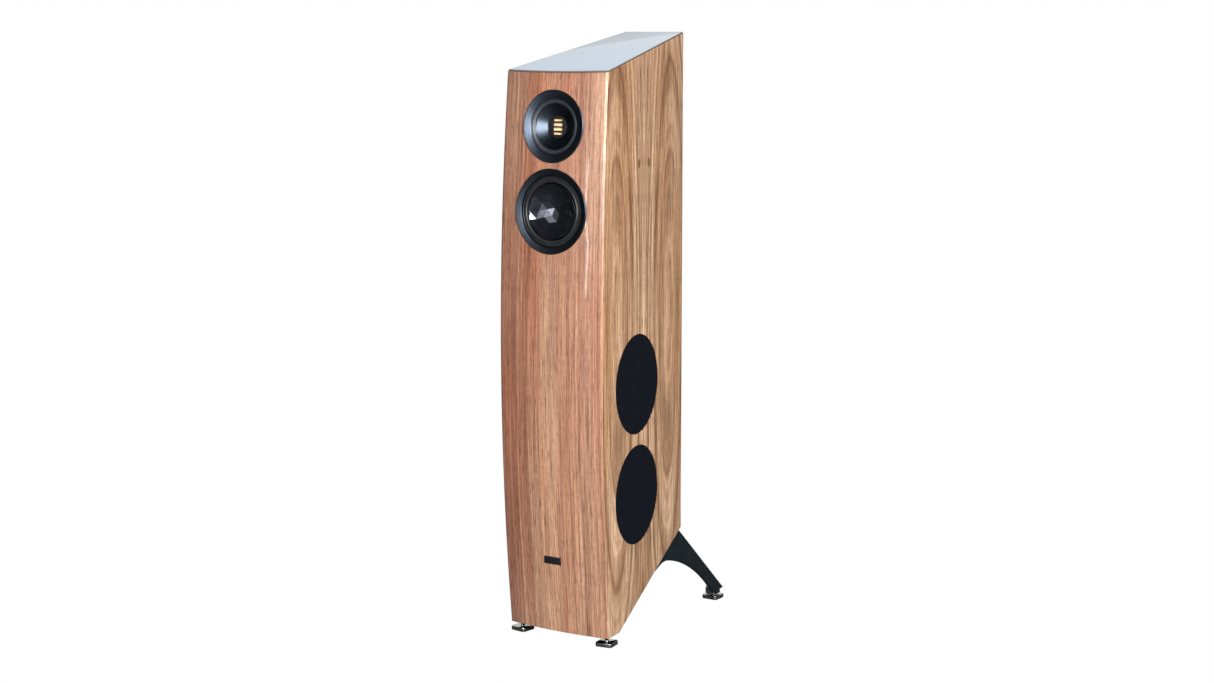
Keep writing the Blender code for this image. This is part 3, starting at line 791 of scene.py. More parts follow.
def drawnOut(points, push):
    # a face through the points, and its copy where the push function puts it
    bm = bmesh.new()
    face = bm.faces.new([bm.verts.new(point) for point in points])
    grown = bmesh.ops.extrude_face_region(bm, geom=[face])
    for item in grown["geom"]:
        if isinstance(item, bmesh.types.BMVert):
            item.co = push(item.co)
    return bm


def arcPoints(centre, radius, start, end, steps):
    angles = [math.radians(start + (end - start) * i / steps) for i in range(steps + 1)]
    return [(centre[0] + radius * math.cos(a), centre[1] + radius * math.sin(a)) for a in angles]


# The four veneered walls, as one shell with eased edges.
shellLook = {
    "columns": 30,
    "rows": 64,
    "easeMm": 2.4,
    "frontEase": 1.0,
    "backEase": 0.5,
    "rimEase": 0.22,
    "baseEase": 0.4,
    "hollowReach": (-0.1, 1.4),
}


def shellBlock():
    bm = bmesh.new()
    weight = bm.edges.layers.float.new("bevel_weight_edge")
    columns, rows = shellLook["columns"], shellLook["rows"]
    grid = []
    for row in range(rows + 1):
        rise = row / rows
        z = cabinet["baseHeight"] + rise * (woodTopZ(0) - cabinet["baseHeight"])
        bow = bowAt(z)
        loop = []
        for i in range(columns + 1):
            a = 2 * i / columns - 1
            loop.append((a * sideX(-bow), -bow - cabinet["crown"] * (1 - a * a)))
        for y in (cabinet["flatBase"], cabinet["depth"]):
            loop.append((sideX(y), y))
        for y in (cabinet["depth"], cabinet["flatBase"]):
            loop.append((-sideX(y), y))
        points = []
        for x, y in loop:
            low, high = bottomZ(y), woodTopZ(y)
            points.append(bm.verts.new((x, y, low + rise * (high - low))))
        grid.append(points)
    count = len(grid[0])
    corners = {0: "frontEase", columns: "frontEase", columns + 2: "backEase", columns + 3: "backEase"}
    for row in range(rows):
        for i in range(count):
            j = (i + 1) % count
            bm.faces.new((grid[row][i], grid[row][j], grid[row + 1][j], grid[row + 1][i]))
    bm.faces.new(grid[-1])
    bm.faces.new(grid[0][: columns + 2] + grid[0][-1:])
    bm.faces.new(grid[0][columns + 1 :])
    bm.edges.ensure_lookup_table()
    lowRow, highRow = set(grid[0]), set(grid[-1])
    columnOf = {vert: i for points in grid for i, vert in enumerate(points)}
    for edge in bm.edges:
        first, second = edge.verts
        if columnOf[first] == columnOf[second] and columnOf[first] in corners:
            edge[weight] = shellLook[corners[columnOf[first]]]
        elif first in highRow and second in highRow:
            edge[weight] = shellLook["rimEase"]
        elif first in lowRow and second in lowRow:
            # the fold where the base starts to rise stays crisp
            if {columnOf[first], columnOf[second]} != {columns + 1, count - 1}:
                edge[weight] = shellLook["baseEase"]
    return bm


def hollowBlock():
    inset = cabinet["wall"] + cabinet["gap"]
    front, back = inset, cabinet["depth"] - cabinet["backWall"] - cabinet["gap"]
    outline = [
        (-sideX(front, inset), front),
        (sideX(front, inset), front),
        (sideX(back, inset), back),
        (-sideX(back, inset), back),
    ]
    low, high = shellLook["hollowReach"]
    return drawnOut([(x, y, low) for x, y in outline], lambda co: (co.x, co.y, high))


# Recesses cut in the shell, as profiles in millimetres.
seats = {
    "tweeterSeat": (
        [(0, 30), (68.3, 30), (68.3, -9.3), (50.4, -9.3), (50.4, -10.6), (46, -10.6), (46, -80), (0, -80)],
        frontFrame(drivers["tweeter"]),
    ),
    "midSeat": (
        [(0, 30), (80.3, 30), (80.3, -11.4), (60.3, -11.4), (60.3, -110), (0, -110)],
        frontFrame(drivers["mid"]),
    ),
}
for place in ("upper", "lower"):
    seats[place + "Seat"] = (
        [
            (0, 20),
            (97.3, 20),
            (97.3, -6.2),
            (90.5, -6.2),
            (90.5, -10.9),
            (80.5, -10.9),
            (80.5, -60),
            (0, -60),
        ],
        sideFrame(drivers[place]),
    )
backFittings = {"port": 0.620, "terminal": 0.235}
backward = Matrix.Rotation(-math.pi / 2, 4, "X")
portFrame = home @ Matrix.Translation((0, cabinet["depth"], backFittings["port"])) @ backward
terminalFrame = home @ Matrix.Translation((0, cabinet["depth"], backFittings["terminal"]))
seats["portSeat"] = ([(0, 30), (31.5, 30), (31.5, -30), (0, -30)], portFrame)
terminalCuts = {
    "terminalPocket": ((-0.0393, -0.005, -0.0473), (0.0393, 0.02, 0.0473)),
    "terminalHole": ((-0.032, -0.03, -0.040), (0.032, 0.01, 0.040)),
}

shell = newPiece("cabinetVeneerShell", shellBlock(), "veneerFront", home)
ease = shell.modifiers.new("ease", "BEVEL")
ease.width = shellLook["easeMm"] / 1000
ease.segments = 4
ease.limit_method = "WEIGHT"
settle(shell)
tools = [newPiece("hollow", hollowBlock(), None, home)]
for toolName, (profile, placing) in seats.items():
    tools.append(newPiece(toolName, turnedMesh(profile, 128), None, placing))
for toolName, (low, high) in terminalCuts.items():
    tools.append(newPiece(toolName, boxMesh(low, high), None, terminalFrame))
shell.data.transform(home)
shell.matrix_world = Matrix.Identity(4)
for tool in tools:
    cutAway(shell, tool)
settle(shell, crease=28)
dropTools(*tools)
shell.data.materials.clear()
for finish in ("veneerFront", "veneerSide", "veneerBack", "board"):
    shell.data.materials.append(finishes[finish])
for face in shell.data.polygons:
    normal, centre = face.normal, face.center
    outer = abs(centre.x) > sideX(centre.y - originY) - 0.0035
    ahead = centre.y - originY < 0.0015
    if normal.y > 0.75 and centre.y > originY + cabinet["depth"] - 0.004:
        face.material_index = 2
    elif ahead and -normal.y > abs(normal.x):
        face.material_index = 0
    elif outer:
        face.material_index = 1
    elif ahead and normal.z > 0.6:
        face.material_index = 0
    else:
        face.material_index = 3
standsFor(shell, "front_baffle", "side_panel_right", "side_panel_left", "back_panel")
print("cabinet shell:", len(shell.data.polygons), "faces")


# Top: a glass sheet with polished arrises.
def topSheet():
    inset = 0.0012
    width = sideX(0) - inset
    steps = 30
    outline = [
        (a * width, inset - cabinet["crown"] * (1 - a * a))
        for a in (2 * i / steps - 1 for i in range(steps + 1))
    ]
    back = cabinet["depth"] - inset
    outline += [(sideX(back) - inset, back), (inset - sideX(back), back)]
    under = [(x, y, topZ(y) - cabinet["glass"]) for x, y in outline]
    return drawnOut(under, lambda co: co + Vector((0, 0, cabinet["glass"])))


topPiece = newPiece("topGlassSheet", topSheet(), "glass", home)
addBevel(topPiece, 0.5, 2, 50)
settle(topPiece)
topPiece.data.materials.append(finishes["glassEdge"])
for face in topPiece.data.polygons:
    if face.normal.z < 0.85:
        face.material_index = 1
standsFor(topPiece, "top_glass")
print("top sheet done")

# Tweeter, profiles in millimetres from the baffle crown plane.
tweeterFrame = frontFrame(drivers["tweeter"])
tweeterLook = {
    "trim": [
        (68, -9), (68, -1.0), (67.0, 0), (65.5, -0.3), (53.4, -3.7), (52.6, -4.8), (50.3, -4.8), (50.3, -9)
    ],
    "horn": [
        (50, -10.3),
        (50, -4.7),
        (49.2, -4.5),
        (44.2, -6.0),
        (43.4, -7.4),
        (42.6, -8.0),
        (38, -9.8),
        (32, -12.1),
        (26, -14.3),
        (23, -15.3),
        (21.4, -16),
        (21.4, -17),
        (24.6, -17),
        (44.6, -10.3),
    ],
    "pole": [(0, -19.4), (24.4, -19.4), (24.4, -17.6), (21.2, -17.3), (0, -17.3)],
    "slots": ((12.4, 4.0, 9.8), (4.2, 5.6, 10.5), (-4.2, 5.6, 10.5), (-12.4, 4.0, 9.8)),
    "foilPleats": 12,
    "foilPitch": 2.0,
    "foilReach": 0.016,
    "foilHeight": -0.0216,
    "foilFold": 0.0011,
}
standsFor(
    turnedPiece("tweeterTrimRing", tweeterLook["trim"], "ring", tweeterFrame, 0.5, 128), "tweeter_trim_ring"
)
waveguide = turnedPiece("tweeterWaveguide", tweeterLook["horn"], "horn", tweeterFrame, 0.4, 128)
waveguide.data.materials.append(finishes["rim"])
# the rim faces take that finish: painted highlight on the rolled rim
for face in waveguide.data.polygons:
    if face.center.xy.length > 0.0434 and face.center.z > -0.0076:
        face.material_index = 1
standsFor(waveguide, "tweeter_waveguide")
pole = turnedPiece("tweeterPolePlate", tweeterLook["pole"], "satin", tweeterFrame, 0.3, 96)
tools = []
for number, (height, tall, reach) in enumerate(tweeterLook["slots"]):
    low = (-reach / 1000, (height - tall / 2) / 1000, -0.024)
    high = (reach / 1000, (height + tall / 2) / 1000, -0.012)
    tools.append(newPiece(f"slot{number}", boxMesh(low, high), None, tweeterFrame))
    addBevel(tools[-1], 0.9, 3)
    settle(tools[-1])
    cutAway(pole, tools[-1])
settle(pole)
dropTools(*tools)
standsFor(pole, "tweeter_pole_plate")


def pleatedFoil():
    # sine-like folds of thin foil, running up and down behind the slots
    bm = bmesh.new()
    steps = tweeterLook["foilPleats"] * 8
    half = tweeterLook["foilPitch"] * tweeterLook["foilPleats"] / 2000
    rows = []
    for y in (-tweeterLook["foilReach"], tweeterLook["foilReach"]):
        rows.append([])
        for i in range(steps + 1):
            phase = math.tau * tweeterLook["foilPleats"] * i / steps
            height = tweeterLook["foilHeight"] + tweeterLook["foilFold"] * math.cos(phase)
            rows[-1].append(bm.verts.new((half * (2 * i / steps - 1), y, height)))
    for i in range(steps):
        bm.faces.new((rows[0][i], rows[0][i + 1], rows[1][i + 1], rows[1][i]))
    return bm


foil = newPiece("tweeterPleatedFoil", pleatedFoil(), "foil", tweeterFrame, crease=80)
thick = foil.modifiers.new("thick", "SOLIDIFY")
thick.thickness = 0.0003
settle(foil, crease=80)
standsFor(foil, "tweeter_foil")
print("tweeter done")

# Midrange, profiles in millimetres.
midFrame = frontFrame(drivers["mid"])
midLook = {
    "trim": [(80, -7), (80, -0.9), (79.0, 0), (78.0, -0.2), (69.0, -1.9), (67.6, -2.3), (67, -3.2), (67, -7)],
    "rim": [
        (79.6, -11),
        (79.6, -7.3),
        (66.6, -7.3),
        (66.6, -4.4),
        (65.9, -3.9),
        (64.2, -3.9),
        (63.3, -4.6),
        (63.3, -7.6),
        (56.5, -7.6),
        (56.5, -11),
    ],
    "lip": 63.0,
    "inner": 54.5,
    "height": -6.2,
    "crest": 3.4,
    "rubber": 1.0,
}
standsFor(turnedPiece("midTrimRing", midLook["trim"], "darkRing", midFrame, 0.5, 128), "mid_trim_ring")
addedTo(turnedPiece("midBasketRim", midLook["rim"], "satin", midFrame, 0.3, 128), "root")


def rollProfile(look):
    # outer lip, half roll, inner lip, and back under them
    centre = (look["lip"] + look["inner"]) / 2 - 0.9
    radius = centre - look["inner"] - 0.6
    thin = look["rubber"]
    upper = [(look["lip"], look["height"])]
    upper += [
        (r, look["height"] + (z - look["height"]) * look["crest"] / radius)
        for r, z in arcPoints((centre, look["height"]), radius, 0, 180, 16)
    ]
    upper.append((look["inner"], look["height"]))
    lower = [(look["inner"], look["height"] - thin)]
    lower += [
        (r, look["height"] - thin + (z - look["height"]) * look["crest"] / radius)
        for r, z in arcPoints((centre, look["height"]), radius - thin, 180, 0, 16)
    ]
    lower.append((look["lip"], look["height"] - thin))
    return upper + lower


def flexBetween(piece, fixedBody, movingBody, look, placing):
    # the outer lip stays, the inner lip goes with the cone, and the roll bends smoothly in between
    glued = 2
    axisOut = (placing.to_3x3() @ Vector((0, 0, 1))).normalized()
    centre = placing.translation
    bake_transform(piece, fixedBody, movingBody, start=centre, end=centre + axisOut)
    shares = piece.data.attributes["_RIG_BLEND"].data
    for vert, share in zip(piece.data.vertices, shares):
        offset = vert.co - centre
        radius = (offset - axisOut * offset.dot(axisOut)).length * 1000
        t = min(1.0, max(0.0, (look["lip"] - glued - radius) / (look["lip"] - look["inner"] - glued)))
        share.value = t * t * (3 - 2 * t)


midRoll = newPiece("midSurround", turnedMesh(rollProfile(midLook), 128), "rubber", midFrame, crease=60)
flexBetween(midRoll, "root", "mid_cone", midLook, midFrame)
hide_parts("mid_surround")


# Cone pressed into flat triangular facets, laid out as on a geodesic dome.
coneLook = {
    "radius": 54.2,
    "rimHeight": -6.4,
    "deep": 22.4,
    "divisions": 6,
    "tilt": 24,
    "dent": 1.5,
    "thickness": 1.3,
    "coil": (12.0, 13.4, -65.0, -29.6),
}


def facetedCone():
    ball = (coneLook["radius"] ** 2 + coneLook["deep"] ** 2) / (2 * coneLook["deep"])
    bm = bmesh.new()
    bmesh.ops.create_icosphere(bm, subdivisions=1, radius=ball / 1000)
    bmesh.ops.subdivide_edges(bm, edges=bm.edges[:], cuts=coneLook["divisions"] - 1, use_grid_fill=True)
    bmesh.ops.rotate(bm, verts=bm.verts, matrix=Matrix.Rotation(math.radians(coneLook["tilt"]), 3, "X"))
    for i, vert in enumerate(bm.verts):
        # slightly uneven pressing, so that no two facets face the same way
        vert.co = vert.co.normalized() * (ball - coneLook["dent"] * (0.5 + 0.5 * math.sin(2.4 * i))) / 1000
    centre = coneLook["rimHeight"] + ball - coneLook["deep"]
    bmesh.ops.translate(bm, verts=bm.verts, vec=(0, 0, centre / 1000))
    edgeHeight = (0, 0, coneLook["rimHeight"] / 1000)
    parts = bm.verts[:] + bm.edges[:] + bm.faces[:]
    bmesh.ops.bisect_plane(bm, geom=parts, plane_co=edgeHeight, plane_no=(0, 0, 1), clear_outer=True)
    return bm


coneFace = newPiece("midFacetedCone", facetedCone(), "cone", midFrame, smooth=False)
skin = coneFace.modifiers.new("skin", "SOLIDIFY")
skin.thickness = coneLook["thickness"] / 1000
skin.offset = -1.0
settle(coneFace, smooth=False)
addBevel(coneFace, 0.15, 1, 4)
settle(coneFace, smooth=False)
standsFor(coneFace, "mid_cone")
inner, outer, end, start = coneLook["coil"]
coil = turnedPiece(
    "midVoiceCoil", [(inner, end), (outer, end), (outer, start), (inner, start)], "foil", midFrame, 0.2, 64
)
addedTo(coil, "mid_cone")
print("midrange done")

# Woofers behind the side grilles, profiles in millimetres.
wooferLook = {
    "rim": [
        (90, -10.6),
        (90, -6.5),
        (77.6, -6.5),
        (77.6, -16.5),
        (72.5, -16.5),
        (72.5, -19.5),
        (80, -19.5),
        (80, -10.6),
    ],
    "lip": 77.3,
    "inner": 63.0,
    "height": -15.2,
    "crest": 5.0,
    "rubber": 1.0,
    "cone": [
        (0, -33.4),
        (10, -34.8),
        (15.8, -38.6),
        (15.8, -74),
        (17.6, -74),
        (17.6, -39.4),
        (20, -35.6),
        (40, -26.6),
        (62.6, -17),
        (62.6, -15.6),
        (40, -24.8),
        (22, -33.4),
        (20.6, -33.6),
        (19, -31.5),
        (14, -28.6),
        (7, -26.8),
        (0, -26.2),
    ],
    "frame": [(96.6, -5.8), (96.6, -2.4), (95.6, -1.8), (92, -1.8), (91, -2.6), (91, -5.8)],
    "clothRadius": 96.9,
    "clothSkirt": 4.2,
    "screws": 8,
    "screwCircle": 0.0842,
    "screwLift": 0.0011,
    "screwHead": [
        (0, -7.3), (1.6, -7.3), (1.8, -6.9), (1.8, -5.4), (2.9, -5.4), (3.4, -5.9), (3.4, -8.4), (0, -8.4)
    ],
}


def stretchedDisc():
    # cloth pulled over the frame and turned down at its edge, with a very slight draw towards the middle
    bm = bmesh.new()
    radius = wooferLook["clothRadius"]
    stations = [(radius * k / 16, -0.75 + 0.35 * (k / 16) ** 2) for k in range(15)]
    stations += [
        (radius - 1.6, -0.42),
        (radius - 0.7, -0.6),
        (radius - 0.2, -1.0),
        (radius, -1.7),
        (radius, -wooferLook["clothSkirt"]),
    ]
    centre = bm.verts.new((0, 0, stations[0][1] / 1000))
    steps = 128
    angles = [math.tau * i / steps for i in range(steps)]
    previous = None
    for r, z in stations[1:]:
        ring = [bm.verts.new((r * math.cos(a) / 1000, r * math.sin(a) / 1000, z / 1000)) for a in angles]
        for i in range(steps):
            j = (i + 1) % steps
            if previous:
                bm.faces.new((previous[i], previous[j], ring[j], ring[i]))
            else:
                bm.faces.new((centre, ring[j], ring[i]))
        previous = ring
    return bm


for place in ("upper", "lower"):
    placing = sideFrame(drivers[place])
    flange = turnedPiece(f"woofer_{place}_basketRim", wooferLook["rim"], "satin", placing, 0.4, 128)
    addedTo(flange, "root")
    for number in range(wooferLook["screws"]):
        # socket screws that hold the basket to the side
        spot = math.tau * (number + 0.5) / wooferLook["screws"]
        out = wooferLook["screwCircle"]
        at = placing @ Matrix.Translation(
            (out * math.cos(spot), out * math.sin(spot), wooferLook["screwLift"])
        )
        screw = turnedPiece(
            f"woofer_{place}_screw_{number + 1}", wooferLook["screwHead"], "steel", at, 0.2, 24
        )
        addedTo(screw, "root")
    roll = newPiece(
        f"woofer_{place}_softSurround", turnedMesh(rollProfile(wooferLook), 96), "rubber", placing, crease=60
    )
    flexBetween(roll, "root", f"woofer_{place}_cone", wooferLook, placing)
    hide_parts(f"woofer_{place}_surround")
    standsFor(
        turnedPiece(f"woofer_{place}_pressedCone", wooferLook["cone"], "paper", placing, 0.6, 96),
        f"woofer_{place}_cone",
    )
    hoop = turnedPiece(f"grille_{place}_hoop", wooferLook["frame"], "plastic", placing, 0.3, 128)
    hoop.scale = (0.9955, 0.9955, 1.0)
    standsFor(hoop, f"grille_{place}_frame")
    cloth = newPiece(f"grille_{place}_stretchedCloth", stretchedDisc(), "cloth", placing, crease=70)
    standsFor(cloth, f"grille_{place}_cloth")
print("woofers and grilles done")

# Stand: chrome feet, splayed legs with round bosses.
standLook = {
    "foot": 0.035,
    "footCorner": 6.0,
    "footEdge": 1.1,
    "thickness": 0.008,
    "stem": 4.0,
    "frontFoot": (0.0985, 0.017),
    "rearFoot": (0.097, 0.421),
    "legInset": 0.003,
    "legThickness": 0.006,
    "legTip": (0.1112, 0.4370, 0.0210),
    "legTop": 0.0006,
    "legToe": [(0.019, 0.1777), (-0.0165, 0.1640)],
    "legArc": ((-0.189, 0.1575), 0.173, -6, -56, 48),
    "legTail": [
        (-0.104, 0.0090),
        (-0.1095, 0.0076),
        (-0.115, 0.0066),
        (-0.121, 0.0057),
        (-0.127, 0.0048),
        (-0.1335, 0.0041),
        (-0.140, 0.0036),
    ],
    "flangeSpan": (0.215, 0.330),
    "flangeThickness": 0.0056,
    "flangeInset": (0.046, 0.0062),
    "boss": [(4.6, 10.5), (14.7, 10.5), (15.5, 11.3), (15.5, 24.2), (14.7, 25.0), (5.4, 25.0), (4.6, 24.2)],
}


def footPlate():
    half = standLook["foot"] / 2
    bm = boxMesh((-half, -half, 0), (half, half, standLook["thickness"]))
    upright = [edge for edge in bm.edges if abs(edge.verts[0].co.z - edge.verts[1].co.z) > 0.001]
    bmesh.ops.bevel(
        bm, geom=upright, offset=standLook["footCorner"] / 1000, segments=8, profile=0.5, affect="EDGES"
    )
    level = [edge for edge in bm.edges if abs(edge.verts[0].co.z - edge.verts[1].co.z) < 0.0001]
    rim = [edge for edge in level if any(len(face.verts) > 4 for face in edge.link_faces)]
    bmesh.ops.bevel(
        bm, geom=rim, offset=standLook["footEdge"] / 1000, segments=4, profile=0.5, affect="EDGES"
    )
    return bm


def stemProfile(topMm):
    # a shallow thread of 1 mm pitch
    crest, foot = standLook["stem"], standLook["stem"] - 0.3
    points = [(0, 8.3), (crest, 8.3)]
    z = 8.8
    while z < topMm - 0.6:
        points += [(crest, z), (foot, z + 0.5)]
        z += 1.0
    return points + [(foot, topMm), (0, topMm)]


def legMatrix(side):
    # local X runs up the cut edge of the cabinet, local Y down the plate, local Z inboard through it
    corner = Vector((sideX(cabinet["depth"]) - standLook["legInset"], cabinet["depth"], cabinet["cutHeight"]))
    rise = (cabinet["cutHeight"] - cabinet["baseHeight"]) / (cabinet["depth"] - cabinet["flatBase"])
    along = Vector((-cabinet["taper"], 1.0, rise)).normalized()
    normal = along.cross(Vector(standLook["legTip"]) - corner).normalized()
    down = normal.cross(along)
    placed = Matrix.Translation(corner) @ Matrix((along, down, normal)).transposed().to_4x4()
    return placed if side > 0 else Matrix.Scale(-1, 4, (1, 0, 0)) @ placed


def legPlate(side):
    top, tail = standLook["legTop"], standLook["legTail"]
    outline = [(-0.008, top)] + standLook["legToe"]
    outline += arcPoints(*standLook["legArc"])[1:]
    outline += tail + [(tail[-1][0], top)]
    bm = drawnOut(
        [(x, y, 0.0) for x, y in outline], lambda co: co + Vector((0, 0, standLook["legThickness"]))
    )
    bmesh.ops.transform(bm, matrix=home @ legMatrix(side), verts=bm.verts)
    return bm


def legFlange(side):
    # the strip along the leg's top that the screws go through
    start, end = standLook["flangeSpan"]
    inner, outer = standLook["flangeInset"]
    top = standLook["legTop"]
    under = top + standLook["flangeThickness"]
    corners = []
    for y, drop in ((start, top), (end, top), (end, under), (start, under)):
        corners.append((side * (sideX(y) - inner), y, bottomZ(y) - drop))
    bm = drawnOut(corners, lambda co: (side * (sideX(co.y) - outer), co.y, co.z))
    bmesh.ops.transform(bm, matrix=home, verts=bm.verts)
    return bm


for word, side in (("right", 1), ("left", -1)):
    for where, (x, y), turn, topMm in (
        ("front", standLook["frontFoot"], side * sideAngle, 34.0),
        ("rear", standLook["rearFoot"], 0.0, 23.5),
    ):
        placing = home @ Matrix.Translation((side * x, y, 0)) @ Matrix.Rotation(turn, 4, "Z")
        plate = newPiece(f"{where}_foot_{word}_polishedPlate", footPlate(), "chrome", crease=50)
        plate.data.transform(placing)
        standsFor(plate, f"{where}_foot_{word}_plate")
        stem = newPiece(
            f"{where}_foot_{word}_threadedStem",
            turnedMesh(stemProfile(topMm), 32),
            "chrome",
            placing,
            crease=50,
        )
        standsFor(stem, f"{where}_foot_{word}_stem")
    leg = newPiece(f"rear_leg_{word}_plate", legPlate(side), "leg", crease=40)
    flange = newPiece("flange", legFlange(side), None)
    join = leg.modifiers.new("flange", "BOOLEAN")
    join.operation = "UNION"
    join.solver = "EXACT"
    join.object = flange
    settle(leg)
    dropTools(flange)
    addBevel(leg, 0.45, 2, 40)
    settle(leg)
    standsFor(leg, f"rear_leg_{word}")
    spot = home @ Matrix.Translation((side * standLook["rearFoot"][0], standLook["rearFoot"][1], 0))
    boss = turnedPiece(f"rear_foot_{word}_turnedBoss", standLook["boss"], "chrome", spot, 0.3, 96)
    # the boss is cut flat where the leg plate passes
    trim = boxMesh((-0.06, 0.10, -0.03), (0.08, 0.24, standLook["legThickness"] + cabinet["gap"]))
    bmesh.ops.transform(trim, matrix=home @ legMatrix(side), verts=trim.verts)
    trim = newPiece("bossTrim", trim, None)
    cutAway(boss, trim)
    settle(boss)
    dropTools(trim)
    standsFor(boss, f"rear_foot_boss_{word}")
print("stand done")

# Rear fittings, profiles in millimetres and places in metres.
fittingLook = {
    "port": [
        (28, -125),
        (31, -125),
        (31, 0.3),
        (44, 0.3),
        (44, 2.2),
        (43.2, 3.2),
        (41, 3.8),
        (38, 3.6),
        (34.4, 1.6),
        (31.4, -2.6),
        (29.2, -8),
        (28, -16),
    ],
    "post": [(0, -16), (3, -16), (3, -0.3), (6, -0.3), (6, 2.6), (3, 2.6), (3, 18), (2, 19), (0, 19)],
    "postSpread": 0.0095,
    "postHole": [(0, -20), (3.6, -20), (3.6, 10), (0, 10)],
    "flutes": 20,
    "fluteDepth": 0.45,
    "knob": [
        (3.3, 2.9, 0),
        (7.6, 2.9, 0),
        (8.4, 3.7, 1),
        (8.6, 4.4, 1),
        (8.6, 14.6, 1),
        (8.3, 15.8, 1),
        (7.4, 16.6, 0),
        (4.4, 16.8, 0),
        (3.3, 16.2, 0),
    ],
    "plate": ((-0.039, -0.0047, -0.047), (0.039, -0.0007, 0.047)),
    "plateScrew": (0.033, 0.041),
    "screwHead": [
        (0, -0.5), (1.2, -0.5), (1.5, 0), (1.5, 0.5), (2.4, 0.5), (3.0, 0.1), (3.0, -0.4), (0, -1.6)
    ],
}
standsFor(turnedPiece("portFlaredTube", fittingLook["port"], "plastic", portFrame, 0.4, 96), "port_tube")


def flutedKnob():
    # a clamping knob with scalloped grip
    bm = bmesh.new()
    steps = fittingLook["flutes"] * 6
    rings = []
    for radius, height, fluted in fittingLook["knob"]:
        ring = []
        for i in range(steps):
            angle = math.tau * i / steps
            wave = 0.5 - 0.5 * math.cos(fittingLook["flutes"] * angle)
            depth = fittingLook["fluteDepth"] * fluted * wave
            r = (radius - depth) / 1000
            ring.append(bm.verts.new((r * math.cos(angle), r * math.sin(angle), height / 1000)))
        rings.append(ring)
    for first, second in zip(rings, rings[1:] + rings[:1]):
        for i in range(steps):
            j = (i + 1) % steps
            bm.faces.new((first[i], first[j], second[j], second[i]))
    return bm


platePiece = newPiece("terminalMouldedPlate", boxMesh(*fittingLook["plate"]), "plastic", terminalFrame)
addBevel(platePiece, 1.0, 3)
settle(platePiece)
tools = []
for word, side in (("right", 1), ("left", -1)):
    axis = terminalFrame @ Matrix.Translation((side * fittingLook["postSpread"], 0, 0)) @ backward
    tools.append(newPiece(f"postHole{word}", turnedMesh(fittingLook["postHole"], 48), None, axis))
    cutAway(platePiece, tools[-1])
    standsFor(
        turnedPiece(f"bindingPost_{word}", fittingLook["post"], "brass", axis, 0.3, 48),
        f"binding_post_{word}",
    )
    standsFor(
        newPiece(f"bindingKnob_{word}", flutedKnob(), "plastic", axis, crease=50), f"binding_knob_{word}"
    )
settle(platePiece)
dropTools(*tools)
standsFor(platePiece, "terminal_plate")
screwX, screwZ = fittingLook["plateScrew"]
for number, (side, level) in enumerate(((-1, -1), (1, -1), (-1, 1), (1, 1))):
    spot = Matrix.Translation((side * screwX, -0.0009, level * screwZ))
    at = terminalFrame @ spot @ backward
    screw = turnedPiece(f"terminalScrew_{number + 1}", fittingLook["screwHead"], "steel", at, 0.15, 24)
    addedTo(screw, "root")

badgeLow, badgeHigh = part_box("badge")
badgeCentre = (badgeLow + badgeHigh) / 2
badgeLook = {
    "width": badgeHigh.x - badgeLow.x, "height": (badgeHigh.z - badgeLow.z) - 0.0003, "thickness": 0.0014
}
half = (badgeLook["width"] / 2, badgeLook["height"] / 2, badgeLook["thickness"] / 2)
badgeTurn = Matrix.Rotation(math.pi / 2 - frontTilt(badgeCentre.z), 4, "X")
badgeFrame = Matrix.Translation(badgeCentre) @ badgeTurn
badgePiece = newPiece("plainBadge", boxMesh([-v for v in half], half), "badge", badgeFrame)
addBevel(badgePiece, 0.45, 3)
settle(badgePiece)
standsFor(badgePiece, "badge")
print("fittings done")

# Studio: a white sweep, soft boxes, and a camera at standing height to the right of the front.
studio = {
    "camera": (2.1967, -3.1743, 1.156),
    "lensMm": 61.10,
    "azimuth": 33.316,
    "pitch": 8.459,
    "surround": "34363A",
}


def whiteToCamera(tree, surfaceSocket, other):
    # the sweep is burnt out to pure white where the camera looks at it directly
    seen = addNode(tree, "LightPath", {}).outputs["Is Camera Ray"]
    white = addNode(tree, "Emission", {"Color": (1.0, 1.0, 1.0, 1.0), "Strength": 1.0})
    joined = addNode(tree, "MixShader", {0: seen, 1: other, 2: white})
    tree.links.new(joined.outputs["Shader"], surfaceSocket)


floorMesh = bmesh.new()
bmesh.ops.create_grid(floorMesh, x_segments=2, y_segments=2, size=14.0)
# matt painted floor, so that it adds no mirror image of its own
floorLook = {
    "colour": "3C3C3E", "second": "404042", "Roughness": 0.7, "grainMm": 30, "driftMm": 900, "relief": 0.0
}
finishes["floor"] = surface("matteStudioFloor", floorLook)
floorNodes = finishes["floor"].node_tree
floorOut = floorNodes.nodes["Material Output"].inputs["Surface"]
whiteToCamera(floorNodes, floorOut, floorNodes.nodes["Principled BSDF"].outputs["BSDF"])
floor = newPiece("studioFloor", floorMesh, "floor", Matrix.Translation((0, 0, -0.0005)))


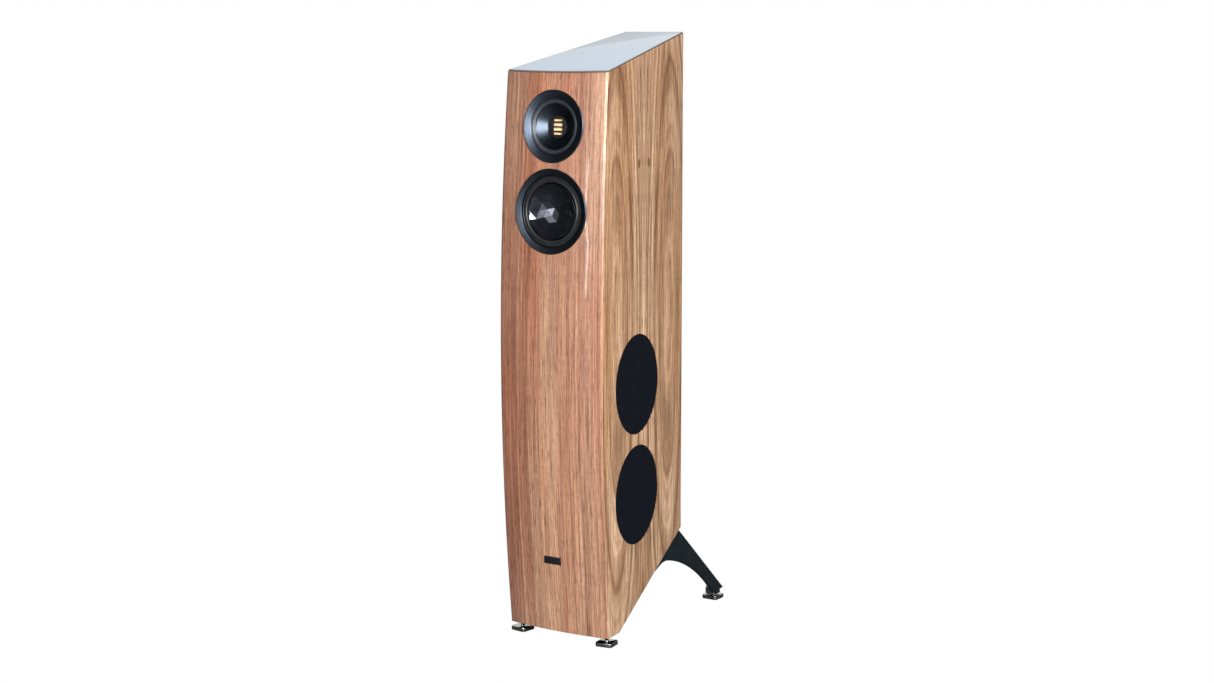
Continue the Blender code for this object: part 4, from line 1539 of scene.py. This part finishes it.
def softBox(name, place, aim, size, power, mirrored=True, colour="FFFFFF"):
    light = bpy.data.lights.new(name, "AREA")
    light.shape = "RECTANGLE"
    light.size, light.size_y = size
    light.energy = power
    light.color = linear(colour)[:3]
    lamp = bpy.data.objects.new(name, light)
    lamp.location = place
    lamp.rotation_euler = (Vector(aim) - Vector(place)).to_track_quat("-Z", "Y").to_euler()
    lamp.visible_glossy = mirrored
    lamp.visible_camera = False
    bpy.context.scene.collection.objects.link(lamp)
    return lamp


# the key lights the side and rakes the front, the ring box shows in the turned metal
softBox("keyBox", (3.9, -3.1, 2.0), (0, 0, 0.6), (2.0, 2.0), 385)
softBox("fillBox", (-3.2, -2.8, 1.6), (0, 0, 0.7), (1.6, 2.2), 14, False)
softBox("sideBox", (2.7, 0.7, 0.4), (0, 0, 0.4), (1.0, 0.8), 34, False)
softBox("topBox", (0.2, 0.6, 3.4), (0, 0, 0.6), (2.0, 2.0), 60, False)
softBox("ringBox", (0.2, -4.6, 1.5), (0, 0, 0.95), (1.9, 1.5), 82)
softBox("ringGlow", (0.3, -4.7, 1.6), (0, 0, 0.95), (3.2, 2.0), 58).visible_diffuse = False
softBox("backPanel", (-2.2, 2.9, 2.4), (0, 0, 1.1), (6.5, 4.4), 72)
softBox("edgeStrip", (-1.02, -3.0, 0.77), (0, 0, 0.7), (0.014, 0.7), 1.4)

world = bpy.data.worlds.new("studioSky")
bpy.context.scene.world = world
world.use_nodes = True
sky = world.node_tree
sky.nodes["Background"].inputs["Color"].default_value = linear(studio["surround"])
skyOut = sky.nodes["World Output"].inputs["Surface"]
whiteToCamera(sky, skyOut, sky.nodes["Background"].outputs["Background"])

camera = bpy.data.objects.new("camera", bpy.data.cameras.new("camera"))
camera.data.lens = studio["lensMm"]
camera.data.sensor_width = 36.0
camera.data.clip_end = 100.0
camera.location = home @ Vector(studio["camera"])
camera.rotation_euler = (math.pi / 2 - math.radians(studio["pitch"]), 0, math.radians(studio["azimuth"]))
bpy.context.scene.collection.objects.link(camera)
bpy.context.scene.camera = camera
bpy.context.scene.view_settings.view_transform = "Standard"
print("studio done")
